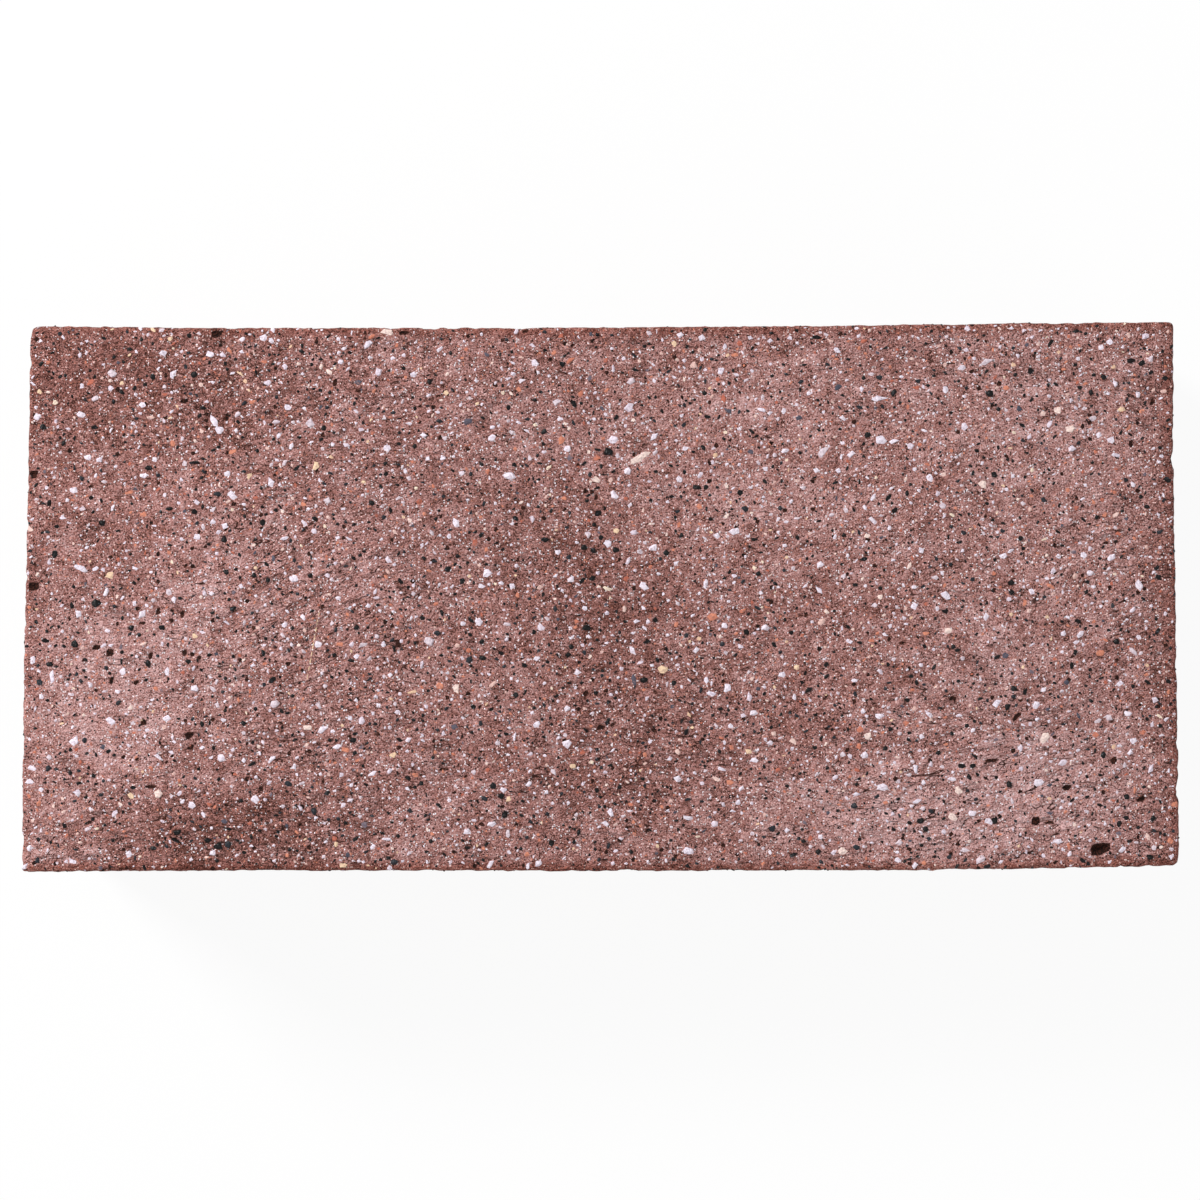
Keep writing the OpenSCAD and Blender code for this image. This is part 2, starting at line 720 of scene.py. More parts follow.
class SolidForm:
    """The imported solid's own surface, which the body is laid over."""

    def __init__(self, node: str) -> None:
        """Reads the solid's faces.

        Args:
            node: the solid's name in the frame.
        """
        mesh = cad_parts[node].data
        points = [v.co / MM for v in mesh.vertices]
        self.tree = BVHTree.FromPolygons(points, [tuple(p.vertices) for p in mesh.polygons])
        low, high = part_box(node)
        self.low, self.high = low / MM, high / MM

    def hit(self, start: Triple, way: Triple) -> Vector:
        """Finds where a straight line first meets the solid.

        Args:
            start: where the line starts.
            way: its direction.

        Returns:
            The point met.

        Raises:
            ValueError: if the line misses the solid.
        """
        point = self.tree.ray_cast(Vector(start), Vector(way))[0]
        if point is None:
            raise ValueError(f"no solid from {start} along {way}")
        return point

    def side_lines(self, places: np.ndarray, axis: int) -> tuple[np.ndarray, np.ndarray]:
        """Finds where the two sides across an axis lie, at places along the other one.

        Args:
            places: places along the other axis.
            axis: 0 for the two ends, 1 for the front and the back.

        Returns:
            The lower side and the higher side at each place.
        """
        reach = 2 * max(abs(self.low[axis]), self.high[axis])
        height = (self.low.z + self.high.z) / 2
        found: list[list[float]] = [[], []]
        for place in places:
            for side, sign in enumerate((-1, 1)):
                start, way = [place, place, height], [0.0, 0.0, 0.0]
                start[axis], way[axis] = sign * reach, -sign
                found[side].append(self.hit(tuple(start), tuple(way))[axis])
        return np.array(found[0]), np.array(found[1])


# How much of the bake's map a millimetre takes: its width holds the face once and a side twice.
MAP_SPAN = 212
FACE_SCALE = 0.98 / MAP_SPAN
SIDE_SCALE = 0.48 / MAP_SPAN


class Region(Enum):
    """The sides of the stone, with the place of each on the bake's map and its scale."""

    FACE = (0.01, 0.515, FACE_SCALE)
    FRONT = (0.01, 0.36, SIDE_SCALE)
    BACK = (0.51, 0.36, SIDE_SCALE)
    LEFT = (0.51, 0.19, SIDE_SCALE)
    RIGHT = (0.75, 0.19, SIDE_SCALE)
    BED = (0.01, 0.11, SIDE_SCALE)

    def on_map(self, across: np.ndarray, up: np.ndarray) -> np.ndarray:
        """Places on the bake's map, for millimetres from the side's left end and its lower edge."""
        left, low, scale = self.value
        return np.stack([left + across * scale, low + up * scale], -1)


# The upright sides, once round against the clock from the front left corner.
UPRIGHT = (Region.FRONT, Region.RIGHT, Region.BACK, Region.LEFT)


class Facet(NamedTuple):
    """A face of the body: its corners, the side it is on and their places round the rim."""

    corners: list[int]
    region: Region
    laps: tuple[int, ...] = ()


@dataclass
class BlockGrid:
    """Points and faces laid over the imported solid: a face, eased edges, ringed sides and a bed.

    The rings under the face have a point for each of the rim's. Lower down, where the sides
    are plain, they have one for every second.
    """

    edge_r: float = 0.9
    edge_steps: int = 4
    face_pitch: float = 0.64
    rim_pitch: float = 0.75
    rim_rows: int = 7
    side_pitch: float = 1.3
    # How far from the edges the solid is measured, in radii of the edge.
    side_inset: float = 2.0
    face_inset: float = 1.3
    # Points in the row that evens out the solid's facets.
    smoothing: int = 9
    form: SolidForm = field(init=False)
    half: Vector = field(init=False)
    lines: list[np.ndarray] = field(init=False)
    ends: tuple[np.ndarray, np.ndarray] = field(init=False)
    flanks: tuple[np.ndarray, np.ndarray] = field(init=False)
    index: np.ndarray = field(init=False)
    rim: np.ndarray = field(init=False)
    ring_sizes: list[int] = field(init=False)
    points: np.ndarray = field(init=False)
    side_of: list[Region] = field(init=False)
    side_starts: dict[Region, int] = field(init=False)
    facets: list[Facet] = field(init=False)

    def __post_init__(self) -> None:
        """Reads the solid, and lays out the lines, the points and the faces."""
        self.form = SolidForm(SOLID)
        self._lay_out_lines()
        self._lay_out_points()
        self._lay_out_faces()

    def mesh(self, name: str, points: np.ndarray) -> bpy.types.Mesh:
        """A mesh of the grid's faces on these points."""
        return new_mesh(name, points.tolist(), [facet.corners for facet in self.facets])

    def sides_at(self, x: np.ndarray, y: np.ndarray) -> tuple[np.ndarray, ...]:
        """Finds where the four sides lie level with points.

        Args:
            x: places along the stone.
            y: places across it.

        Returns:
            The left end, the right end, the front and the back.
        """
        ends = [np.interp(y, self.lines[1], side) for side in self.ends]
        flanks = [np.interp(x, self.lines[0], side) for side in self.flanks]
        return (*ends, *flanks)

    def lap_lengths(self, points: np.ndarray) -> np.ndarray:
        """Measures the way round the rim.

        Args:
            points: the grid's points, where they are now.

        Returns:
            The distance to each of the rim's places, and all the way round.
        """
        ring = points[np.append(self.rim, self.rim[0])]
        steps = np.linalg.norm(np.diff(ring[:, :2], axis=0), axis=1)
        return np.append(0, np.cumsum(steps))

    def _grid_lines(self, half: float) -> np.ndarray:
        """Lines of the grid along one axis, close together round the eased edges.

        Args:
            half: half the stone's size along the axis.

        Returns:
            An odd number of places, from -half to half.
        """
        turn = np.linspace(0, math.pi / 2, self.edge_steps + 1)
        edge = half - self.edge_r * (1 - np.cos(turn))
        reach = half - self.edge_r
        cells = 2 * round(reach / self.face_pitch)
        inner = np.linspace(-reach, reach, cells + 1)[1:-1]
        return np.concatenate([-edge, inner, edge[::-1]])

    def _lay_out_lines(self) -> None:
        """Sets out the grid's lines and reads where the solid's sides lie along them."""
        self.half = ((self.form.high - self.form.low) / 2).to_2d()
        self.lines = [self._grid_lines(half) for half in self.half]
        clear = self._kept_in(self.lines, self.side_inset)
        self.ends = self.form.side_lines(clear[1], 0)
        self.flanks = self.form.side_lines(clear[0], 1)

    def _kept_in(self, places: list[np.ndarray], inset: float) -> list[np.ndarray]:
        """Places along both axes, kept clear of the edges by so many radii."""
        clear = [half - inset * self.edge_r for half in self.half]
        return [np.clip(place, -limit, limit) for place, limit in zip(places, clear)]

    def _plan(self, x: np.ndarray, y: np.ndarray) -> tuple[np.ndarray, np.ndarray]:
        """Moves points of a true rectangle to where the solid's sides put them.

        Args:
            x: places along the rectangle.
            y: places across it.

        Returns:
            The places on the stone.
        """
        left, right, front, back = self.sides_at(x, y)
        along = (x / self.half.x + 1) / 2
        across = (y / self.half.y + 1) / 2
        return left + (right - left) * along, front + (back - front) * across

    def _face_points(self) -> np.ndarray:
        """Places the points of the face, and of the eased edges round it.

        Returns:
            The points, by their lines along and across.
        """
        x, y = np.meshgrid(*self.lines, indexing="ij")
        into = [
            np.sign(d) * np.clip((abs(d) - half) / self.edge_r + 1, 0, 1)
            for d, half in zip((x, y), self.half)
        ]
        reach = np.maximum(abs(into[0]), abs(into[1]))
        spread = np.hypot(into[0], into[1])
        # Round the corners the square grid is drawn in to a disc, so that they are eased too.
        pull = np.divide(reach, spread, out=np.ones_like(reach), where=spread > 0) - 1
        plan = self._plan(*(d + self.edge_r * depth * pull for d, depth in zip((x, y), into)))
        drop = self.edge_r * (1 - np.sqrt(np.clip(1 - reach**2, 0, 1)))
        return np.stack([*plan, self._face_height(x, y) - drop], -1)

    def _face_height(self, x: np.ndarray, y: np.ndarray) -> np.ndarray:
        """Reads the height of the solid's face under each point, and smooths its facets.

        Args:
            x: places along the rectangle.
            y: places across it.

        Returns:
            The heights, in the grid's shape.
        """
        plan = self._plan(*self._kept_in([x, y], self.face_inset))
        above = 2 * self.form.high.z
        met = [self.form.hit((a, b, above), (0, 0, -1)).z for a, b in zip(*(p.flat for p in plan))]
        heights = np.array(met).reshape(x.shape)
        row = np.ones(self.smoothing) / self.smoothing
        for axis in (0, 1):
            padding = [(0, 0), (0, 0)]
            padding[axis] = (self.smoothing // 2, self.smoothing // 2)
            padded = np.pad(heights, padding, mode="edge")
            heights = np.apply_along_axis(np.convolve, axis, padded, row, "valid")
        return heights

    def _lay_out_points(self) -> None:
        """Places every point on the solid's own form: the face, the sides in rings and the bed."""
        face = self._face_points()
        nx, ny = face.shape[:2]
        self.index = np.arange(nx * ny).reshape(nx, ny)
        self.rim = self._outer(self.index)
        around = face.reshape(-1, 3)[self.rim]
        rim_z = around[:, 2]
        rings = []
        for row in range(1, self.rim_rows + 1):
            rings.append(self._at_height(around, rim_z - row * self.rim_pitch))
        start_z = (rim_z - self.rim_rows * self.rim_pitch)[::2]
        low_rows = round(float(start_z.mean()) / self.side_pitch)
        for row in range(1, low_rows + 1):
            rings.append(self._at_height(around[::2], start_z * (1 - row / low_rows)))
        self.ring_sizes = [len(ring) for ring in rings]
        bed = self._at_height(face[::2, ::2][1:-1, 1:-1].reshape(-1, 3), 0)
        self.points = np.concatenate([face.reshape(-1, 3), *rings, bed])

    def _at_height(self, points: np.ndarray, height: np.ndarray | float) -> np.ndarray:
        """Copies points to other heights.

        Args:
            points: the points.
            height: their heights, or one for them all.

        Returns:
            The copies.
        """
        moved = points.copy()
        moved[:, 2] = height
        return moved

    def _outer(self, grid: np.ndarray) -> np.ndarray:
        """The outer places of a grid, once round against the clock from the front left corner."""
        return np.concatenate([grid[:-1, 0], grid[-1, :-1], grid[:0:-1, -1], grid[0, :0:-1]])

    def _lay_out_faces(self) -> None:
        """Joins the points into faces: the face, the sides band by band and the bed."""
        nx, ny = self.index.shape
        spans = [nx - 1, ny - 1, nx - 1, ny - 1]
        self.side_of = [side for side, span in zip(UPRIGHT, spans) for _ in range(span)]
        self.side_starts = dict(zip(UPRIGHT, np.cumsum([0, *spans]).tolist()))
        self.facets = [Facet(corners, Region.FACE) for corners in self._cells(self.index).tolist()]

        upper, base = self.rim, self.index.size
        for size in self.ring_sizes:
            lower = np.arange(base, base + size)
            if len(upper) == size:
                self._add_band(upper, lower)
            else:
                self._add_step(upper, lower)
            upper, base = lower, base + size

        bed = np.empty(self.index[::2, ::2].shape, int)
        inner = bed[1:-1, 1:-1]
        inner[:] = base + np.arange(inner.size).reshape(inner.shape)
        np.put(bed, self._outer(np.arange(bed.size).reshape(bed.shape)), upper)
        # The bed faces down, so its corners go the other way round.
        for first, *others in self._cells(bed).tolist():
            self.facets.append(Facet([first, *reversed(others)], Region.BED))

    def _cells(self, grid: np.ndarray) -> np.ndarray:
        """The four corners of each cell of a grid, against the clock seen from above."""
        corners = [grid[:-1, :-1], grid[1:, :-1], grid[1:, 1:], grid[:-1, 1:]]
        return np.stack(corners, -1).reshape(-1, 4)

    def _add_band(self, upper: np.ndarray, lower: np.ndarray) -> None:
        """Joins two rings of as many points.

        Args:
            upper: the points of the upper ring.
            lower: the points of the lower ring.
        """
        count = len(upper)
        stride = len(self.rim) // count
        for k in range(count):
            after = (k + 1) % count
            first, last = k * stride, (k + 1) * stride
            corners = [upper[k], lower[k], lower[after], upper[after]]
            self.facets.append(Facet(corners, self.side_of[first], (first, first, last, last)))

    def _add_step(self, upper: np.ndarray, lower: np.ndarray) -> None:
        """Joins a ring to one of half as many points, with three triangles to each wider span.

        Args:
            upper: the points of the upper ring, as many as the rim's.
            lower: the points of the lower ring.
        """
        for k in range(len(lower)):
            after = (k + 1) % len(lower)
            first, middle, last = 2 * k, 2 * k + 1, 2 * k + 2
            far = last % len(upper)
            for corners, laps in (
                ([upper[first], lower[k], upper[middle]], (first, first, middle)),
                ([upper[middle], lower[k], lower[after]], (middle, first, last)),
                ([upper[middle], lower[after], upper[far]], (middle, last, last)),
            ):
                self.facets.append(Facet(corners, self.side_of[first], laps))


@dataclass(frozen=True)
class Ripple:
    """Smooth noise over the stone: its height, the lengths of its waves and a seed of its own."""

    height: float
    waves: Triple
    seed: float

    def at(self, points: np.ndarray) -> np.ndarray:
        """Reads the ripple.

        Args:
            points: one point a row.

        Returns:
            One value for each point, about zero.
        """
        scaled = points / np.array(self.waves) + self.seed
        values = np.fromiter((noise.noise(point) for point in scaled.tolist()), float, len(scaled))
        return self.height * values


@dataclass(frozen=True)
class Pit:
    """A hollow in the face where a grain or a clot of paste came away."""

    x: float
    y: float
    length: float
    width: float
    depth: float
    turn: float = 0.0
    # Where its floor ends and its lip lies, in half widths from its middle.
    floor: float = 0.35
    lip: float = 1.1

    def sunk(self, x: np.ndarray, y: np.ndarray) -> np.ndarray:
        """Finds how deep the hollow is.

        Args:
            x: places along the face.
            y: places across it.

        Returns:
            The depth at each place.
        """
        along, across = turned(x, y, (self.x, self.y), self.turn)
        out = np.hypot(along / self.length, across / self.width) * 2
        return self.depth * (1 - smooth_step(self.floor, self.lip, out))


@dataclass(frozen=True)
class Chip:
    """A bite out of the stone at one point of its surface, and how dark its painted shade is."""

    at: Triple
    radius: float
    depth: float
    hollow_shade: float = 1.0
    # Where its floor ends, as a share of its radius.
    floor: float = 0.25

    def sunk(self, points: np.ndarray) -> np.ndarray:
        """How far each point is drawn in."""
        out = np.linalg.norm(points - np.array(self.at), axis=1) / self.radius
        return self.depth * (1 - smooth_step(self.floor, 1.0, out))


@dataclass(frozen=True)
class Patch:
    """A soft-edged patch of the face, which gains in tone or in drawn streaks."""

    x: float
    y: float
    length: float
    width: float
    turn: float
    gain: float
    fade: float = 2.0

    def at(self, x: np.ndarray, y: np.ndarray) -> np.ndarray:
        """Finds how much the patch gains.

        Args:
            x: places along the face.
            y: places across it.

        Returns:
            The gain at each place.
        """
        along, across = turned(x, y, (self.x, self.y), self.turn)
        out = (along / self.length) ** 2 + (across / self.width) ** 2
        return self.gain * np.exp(-out * self.fade)


@dataclass(frozen=True)
class Swirl:
    """A place where the drawn paste runs up or down across the face instead of along it."""

    x: float
    y: float
    length: float
    width: float
    climb: float

    def lift(self, x: np.ndarray, y: np.ndarray) -> np.ndarray:
        """Finds how far the drawn lines have climbed.

        Args:
            x: places along the face.
            y: places across it.

        Returns:
            The climb at each place.
        """
        along = (x - self.x) / self.length
        across = (y - self.y) / self.width
        return self.climb * along * np.exp(-(along**2) - across**2)


@dataclass
class WornSkin:
    """What the mould and the years did to the skin: drawn paste, patches, pits, nicks and holes.

    The patches are partly painted light and shade, and the pits, holes and eased edges are
    darkened by painted shade.
    """

    seed: int = 11
    # What is placed one by one: where the drawn paste swirls, is paler or darker, or was drawn
    # most, and where the face is pitted and its edges are bitten.
    swirls: tuple[Swirl, ...] = (
        Swirl(-54, 2, 26, 20, 12),
        Swirl(72, -34, 34, 17, 8),
        Swirl(90, -10, 18, 15, 11),
        Swirl(80, 36, 34, 14, -4),
        Swirl(5, 10, 30, 18, -5),
        Swirl(-80, -38, 24, 12, 3),
    )
    # Partly painted light and shade of the face's waves, partly the paste's own tone.
    tone_and_light_patches: tuple[Patch, ...] = (
        Patch(-86, -14, 37, 26, 55, 0.42),
        Patch(-89, 7, 14, 14, 0, -0.26),
        Patch(-76, -28, 14, 9, 0, -0.12),
        Patch(-66, -42, 28, 10, 4, -0.48),
        Patch(-100, -44, 10, 9, 0, 0.22),
        Patch(-32, -43, 10, 8, 0, 0.18),
        Patch(-2, 0, 40, 16, -65, -0.29),
        Patch(-43, 5, 12, 9, 0, 0.14),
        Patch(-2, -34, 14, 12, 0, -0.15),
        Patch(-82, 38, 40, 17, -4, -0.31),
        Patch(-12, 29, 16, 10, 0, 0.2),
        Patch(29, 34, 28, 14, 0, 0.22),
        Patch(28, 16, 34, 10, -8, 0.25),
        Patch(78, 33, 28, 18, -5, 0.26),
        Patch(88, 8, 24, 24, 0, 0.16),
        Patch(69, -11, 13, 13, 0, 0.24),
        Patch(75, -36, 34, 20, 15, 0.5),
        Patch(46, -41, 24, 10, 4, 0.32),
        Patch(30, -36, 26, 12, 0, 0.1),
        Patch(102, 0, 70, 5, 90, -0.25),
    )
    drawn_zones: tuple[Patch, ...] = (
        Patch(76, -34, 52, 26, 10, 0.7),
        Patch(-55, -4, 30, 34, 30, 0.6),
        Patch(-72, -42, 40, 12, 4, 0.65),
        Patch(10, -24, 40, 24, 0, 0.4),
        Patch(84, 6, 36, 22, 20, 0.4),
        Patch(84, 38, 40, 12, -5, 0.45),
        Patch(-60, 38, 50, 14, -4, 0.4),
    )
    pits: tuple[Pit, ...] = (
        Pit(90.5, -45.5, 4.0, 2.1, 1.5, 12),
        Pit(91.5, -45.3, 2.2, 1.6, 1.2, 12),
        Pit(84.5, -34.5, 2.4, 1.4, 0.6),
        Pit(79, -40.5, 2.2, 1.4, 0.6),
        Pit(81.5, -40.5, 4.6, 1.0, 0.4, 3),
        Pit(71, -29.5, 5.0, 1.0, 0.4, 10),
        Pit(98, -36.5, 2.6, 1.0, 0.5, 40),
        Pit(93, -29.5, 1.8, 1.4, 0.5),
        Pit(75.5, -21.5, 2.2, 1.1, 0.6, 65),
        Pit(64, -18.5, 2.4, 1.1, 0.5, -10),
        Pit(100, 35.5, 1.6, 1.2, 0.5),
        Pit(96, 28, 1.4, 1.2, 0.5),
        Pit(0, -23.5, 1.8, 1.4, 0.6),
        Pit(-2.5, -17.5, 1.5, 1.4, 0.5),
        Pit(-48, 39, 1.8, 1.2, 0.5),
        Pit(-69.5, 48, 3.0, 1.3, 0.7, 4),
        Pit(-35.5, 48, 2.4, 1.2, 0.6, -5),
        Pit(-75.5, 35.5, 1.8, 1.2, 0.5),
        Pit(-83.5, 43, 2.4, 1.0, 0.4, -5),
        Pit(-103, 22.5, 1.8, 1.6, 0.8),
        Pit(-103, 2, 2.2, 1.8, 0.8, -10),
        Pit(-76, -3, 1.7, 1.2, 0.5, 90),
        Pit(-80, -2.5, 1.7, 1.2, 0.5, 90),
        Pit(-91.5, -9, 2.0, 1.6, 0.5),
        Pit(-89, -10, 1.6, 1.8, 0.5),
        Pit(-81.5, -10.5, 1.4, 1.6, 0.5),
        Pit(-75.5, -10, 1.5, 1.3, 0.5),
        Pit(-88.5, -15, 1.2, 1.6, 0.5),
        Pit(-84, -15.5, 1.2, 1.6, 0.5),
        Pit(-74.5, -25, 2.6, 1.3, 0.7, 5),
        Pit(-81.5, -34.5, 4.6, 1.0, 0.4),
        Pit(-83, -40.5, 6.0, 0.9, 0.3),
    )
    edge_bites: tuple[Chip, ...] = (
        Chip((-105, -19, 58.5), 1.6, 0.3),
        Chip((-105, -44, 57.5), 1.8, 0.3),
        Chip((104, 25, 59), 1.8, 0.5),
        Chip((104.4, -8, 58), 2.2, 0.6),
        Chip((104.6, -25, 58), 2.0, 0.6),
        Chip((105, -34.5, 58), 2.4, 0.8),
        Chip((-31.5, -49.5, 58), 2.0, 0.5),
        Chip((5, -49.4, 57.5), 2.0, 0.5),
        Chip((22.5, -49.5, 57.5), 1.8, 0.5),
    )
    rounded_corner: Chip = Chip((-104, 49.5, 57.0), 3.4, 0.6, hollow_shade=0.0)

    # Pits strewn over the face, with the middle and the spread of their turn in degrees.
    loose_pits: int = 140
    pit_length: Pair = (1.1, 1.9)
    pit_scatter: Pair = (0.8, 1.2)
    pit_slimness: Pair = (0.5, 0.9)
    pit_depth: Pair = (0.12, 0.4)
    pit_turn: Pair = (8, 18)
    # Nicks along the upper edges.
    nicks: int = 240
    nick_rise: Pair = (-0.3, 1.0)
    nick_radius: Pair = (0.5, 1.25)
    nick_steepness: Pair = (0.1, 0.26)
    # Holes that air left in the sides and the bed, darkened inside by painted shade.
    holes: int = 320
    hole_least: float = 0.9
    hole_rate: float = 2.0
    hole_most: float = 2.4
    hole_depth: Pair = (0.2, 0.7)
    hole_shade: float = 0.62

    # The relief of the face, the sides and the bed.
    swell: Ripple = Ripple(0.2, (24, 17, 1), 3.3)
    streaks: Ripple = Ripple(1.0, (8, 2.4, 1), 17.1)
    streak_height: float = 0.1
    drawn_height: float = 0.25
    creases: Ripple = Ripple(0.2, (2.8, 1.8, 1), 29.7)
    face_sand: tuple[Ripple, ...] = (
        Ripple(0.16, (2.6, 2.4, 1), 41.9),
        Ripple(0.12, (1.4, 1.35, 1), 53.3),
    )
    side_ripples: tuple[Ripple, ...] = (
        Ripple(0.1, (14, 14, 18), 5.1),
        Ripple(0.07, (1.9, 1.9, 22), 19.3),
        Ripple(0.03, (4.3, 4.3, 2.6), 31.7),
        Ripple(0.16, (1.4, 1.4, 1.7), 43.9),
    )
    side_set_in: float = 0.1
    bed_grit: Ripple = Ripple(0.1, (2.6, 2.6, 2.6), 71.0)
    # How far up the skin looks where a side goes over into the face, and where the face's own
    # look starts.
    turn_over: Pair = (0.25, 0.85)
    face_up: float = 0.3

    # The tone of the face and the sides, and where the drawn paste shows its ledges.
    drawn_tone: Ripple = Ripple(0.12, (7, 2.2, 1), 37.0)
    blotches: Ripple = Ripple(0.3, (4, 4, 4), 47.0)
    side_tone: Ripple = Ripple(0.25, (16, 16, 16), 61.0)
    broken: Ripple = Ripple(0.8, (4.5, 4.5, 4.5), 97.0)
    drawn_least: float = 0.2
    drawn_edge: float = 0.2
    # Where the painted shade in the pits, bites and holes starts and is full.
    hollow_shade_edge: Pair = (0.1, 0.6)
    # Painted shade along the eased left, right, front and back edges of the face, and a darker,
    # redder paste down the sides.
    edge_shade_shares: tuple[float, ...] = (0.3, 0.6, 0.8, 0.7)
    side_darkening: float = 0.6
    side_ragged: float = 0.3
    ragged: Ripple = Ripple(0.9, (4, 4, 4), 83.0)
    edge_shade_width: Pair = (0.3, 2.8)
    side_fade_depth: float = 8.0

    air_holes: list[Chip] = field(init=False)
    hollow_shade: np.ndarray = field(init=False)

    def wear(self, grid: BlockGrid, normals: np.ndarray) -> np.ndarray:
        """Moves the grid's points in and out by the fine relief of each side.

        Args:
            grid: the points on the solid's form.
            normals: the way out at each of them.

        Returns:
            The worn points.
        """
        points, up = grid.points, normals[:, 2]
        on_face = smooth_step(*self.turn_over, up)
        on_bed = smooth_step(*self.turn_over, -up)
        on_side = 1 - on_face - on_bed
        pitted = self._pitted(grid)
        move = on_face * (self._face_relief(points) - pitted)
        side_relief = sum(ripple.at(points) for ripple in self.side_ripples)
        move += on_side * (side_relief - self.side_set_in)
        move -= on_bed * abs(self.bed_grit.at(points))

        rng = random.Random(self.seed)
        # The pits and the bites are darkened inside by painted shade.
        self.hollow_shade = pitted * (up > self.face_up)
        self.air_holes = self._air_holes(rng, grid)
        chips = (*self.edge_bites, *self.air_holes, self.rounded_corner, *self._nicks(rng, grid))
        for chip in chips:
            sunk = chip.sunk(points)
            self.hollow_shade = np.maximum(self.hollow_shade, chip.hollow_shade * sunk)
            move -= sunk
        worn = points + normals * move[:, None]
        worn[:, 2] = np.maximum(worn[:, 2], 0)
        return worn

    def flow(self, x: np.ndarray, y: np.ndarray) -> np.ndarray:
        """Places along and across the lines in which the face's paste was drawn, and a zero."""
        climb = sum(swirl.lift(x, y) for swirl in self.swirls)
        return np.stack([x, y - climb, np.zeros_like(x)], -1)

    def layers(self, grid: BlockGrid, points: np.ndarray, up: np.ndarray) -> dict[str, np.ndarray]:
        """Works out what the finish reads at each point.

        Args:
            grid: the grid that the points belong to.
            points: the worn points.
            up: how far up each of them faces.

        Returns:
            The paste's tone, partly painted light and shade, the painted shade along its edges
            and in its hollows, and how strongly it was drawn, by those names.
        """
        x, y, _ = points.T
        on_face = up > self.face_up
        # Painted light and shade, with the paste's own tone, in the patches.
        tone = sum(patch.at(x, y) for patch in self.tone_and_light_patches)
        tone += self.drawn_tone.at(self.flow(x, y)) + self.blotches.at(points)
        tone = np.where(on_face, tone, self.side_tone.at(points))
        broken = self._drawn(x, y) - self.drawn_least + self.broken.at(points)
        return {
            "tone": NodeSheet.middle + tone,
            "edge_shade": self._edge_shading(grid, points),
            "hollow_shade": smooth_step(*self.hollow_shade_edge, self.hollow_shade),
            "drawn": np.where(on_face, smooth_step(0, self.drawn_edge, broken), 0),
        }

    def _drawn(self, x: np.ndarray, y: np.ndarray) -> np.ndarray:
        """How strongly the paste was drawn at each point of the face, from 0 to 1."""
        return np.clip(sum(zone.at(x, y) for zone in self.drawn_zones), 0, 1)

    def _edge_shading(self, grid: BlockGrid, points: np.ndarray) -> np.ndarray:
        """Works out the painted shade along the eased edges of the face, and the darker sides.

        Args:
            grid: the grid that the points belong to.
            points: the worn points.

        Returns:
            One share for each point.
        """
        x, y, z = points.T
        left, right, front, back = grid.sides_at(x, y)
        ragged = self.ragged.at(points)
        edge_shaded = np.zeros_like(x)
        for gap, share in zip((x - left, right - x, y - front, back - y), self.edge_shade_shares):
            edge_shaded = np.maximum(edge_shaded, share * (1 - smooth_step(*self.edge_shade_width, gap + ragged)))
        below = smooth_step(0, self.side_fade_depth, z.max() - z)
        return edge_shaded + (self.side_darkening + self.side_ragged * ragged - edge_shaded) * below

    def _face_relief(self, points: np.ndarray) -> np.ndarray:
        """The relief of the worn face, apart from its pits: a swell, drawn streaks and sand.

        Args:
            points: the points on the solid's form.

        Returns:
            How far each point stands out.
        """
        x, y = points[:, 0], points[:, 1]
        flow = self.flow(x, y)
        flat = points * np.array([1, 1, 0])
        relief = self.swell.at(flat)
        streak_height = self.streak_height + self.drawn_height * self._drawn(x, y)
        relief += streak_height * self.streaks.at(flow)
        relief -= abs(self.creases.at(flow))
        for sand in self.face_sand:
            relief += sand.at(flat)
        return relief

    def _pitted(self, grid: BlockGrid) -> np.ndarray:
        """Finds how deep the pits of the face are.

        Args:
            grid: the points on the solid's form.

        Returns:
            The depth at each point.
        """
        x, y = grid.points[:, 0], grid.points[:, 1]
        sunk = np.zeros_like(x)
        for pit in (*self.pits, *self._loose_pits(random.Random(self.seed + 1), grid)):
            near = np.flatnonzero(np.hypot(x - pit.x, y - pit.y) < pit.length)
            sunk[near] = np.maximum(sunk[near], pit.sunk(x[near], y[near]))
        return sunk

    def _loose_pits(self, rng: random.Random, grid: BlockGrid) -> list[Pit]:
        """Strews small pits over the face.

        Args:
            rng: the source of their places and sizes.
            grid: the stone's size.

        Returns:
            The pits.
        """
        pits = []
        for _ in range(self.loose_pits):
            length = rng.uniform(*self.pit_length) * rng.uniform(*self.pit_scatter)
            x, y = (rng.uniform(-half, half) for half in grid.half)
            width = length * rng.uniform(*self.pit_slimness)
            depth, turn = rng.uniform(*self.pit_depth), rng.gauss(*self.pit_turn)
            pits.append(Pit(x, y, length, width, depth, turn))
        return pits

    def _nicks(self, rng: random.Random, grid: BlockGrid) -> list[Chip]:
        """Strews small nicks along the upper edges.

        Args:
            rng: the source of their places and sizes.
            grid: the points on the solid's form.

        Returns:
            The nicks.
        """
        nicks = []
        for _ in range(self.nicks):
            at = grid.points[rng.choice(grid.rim)] + np.array([0, 0, rng.uniform(*self.nick_rise)])
            radius = rng.uniform(*self.nick_radius)
            depth = radius * rng.uniform(*self.nick_steepness)
            nicks.append(Chip(tuple(at), radius, depth, hollow_shade=0.0))
        return nicks

    def _air_holes(self, rng: random.Random, grid: BlockGrid) -> list[Chip]:
        """Strews holes over the sides and the bed.

        Args:
            rng: the source of their places and sizes.
            grid: the points on the solid's form.

        Returns:
            The holes.
        """
        holes = []
        for _ in range(self.holes):
            at = grid.points[rng.randrange(grid.index.size, len(grid.points))]
            radius = min(self.hole_least + rng.expovariate(self.hole_rate), self.hole_most)
            holes.append(Chip(tuple(at), radius, rng.uniform(*self.hole_depth), self.hole_shade))
        return holes


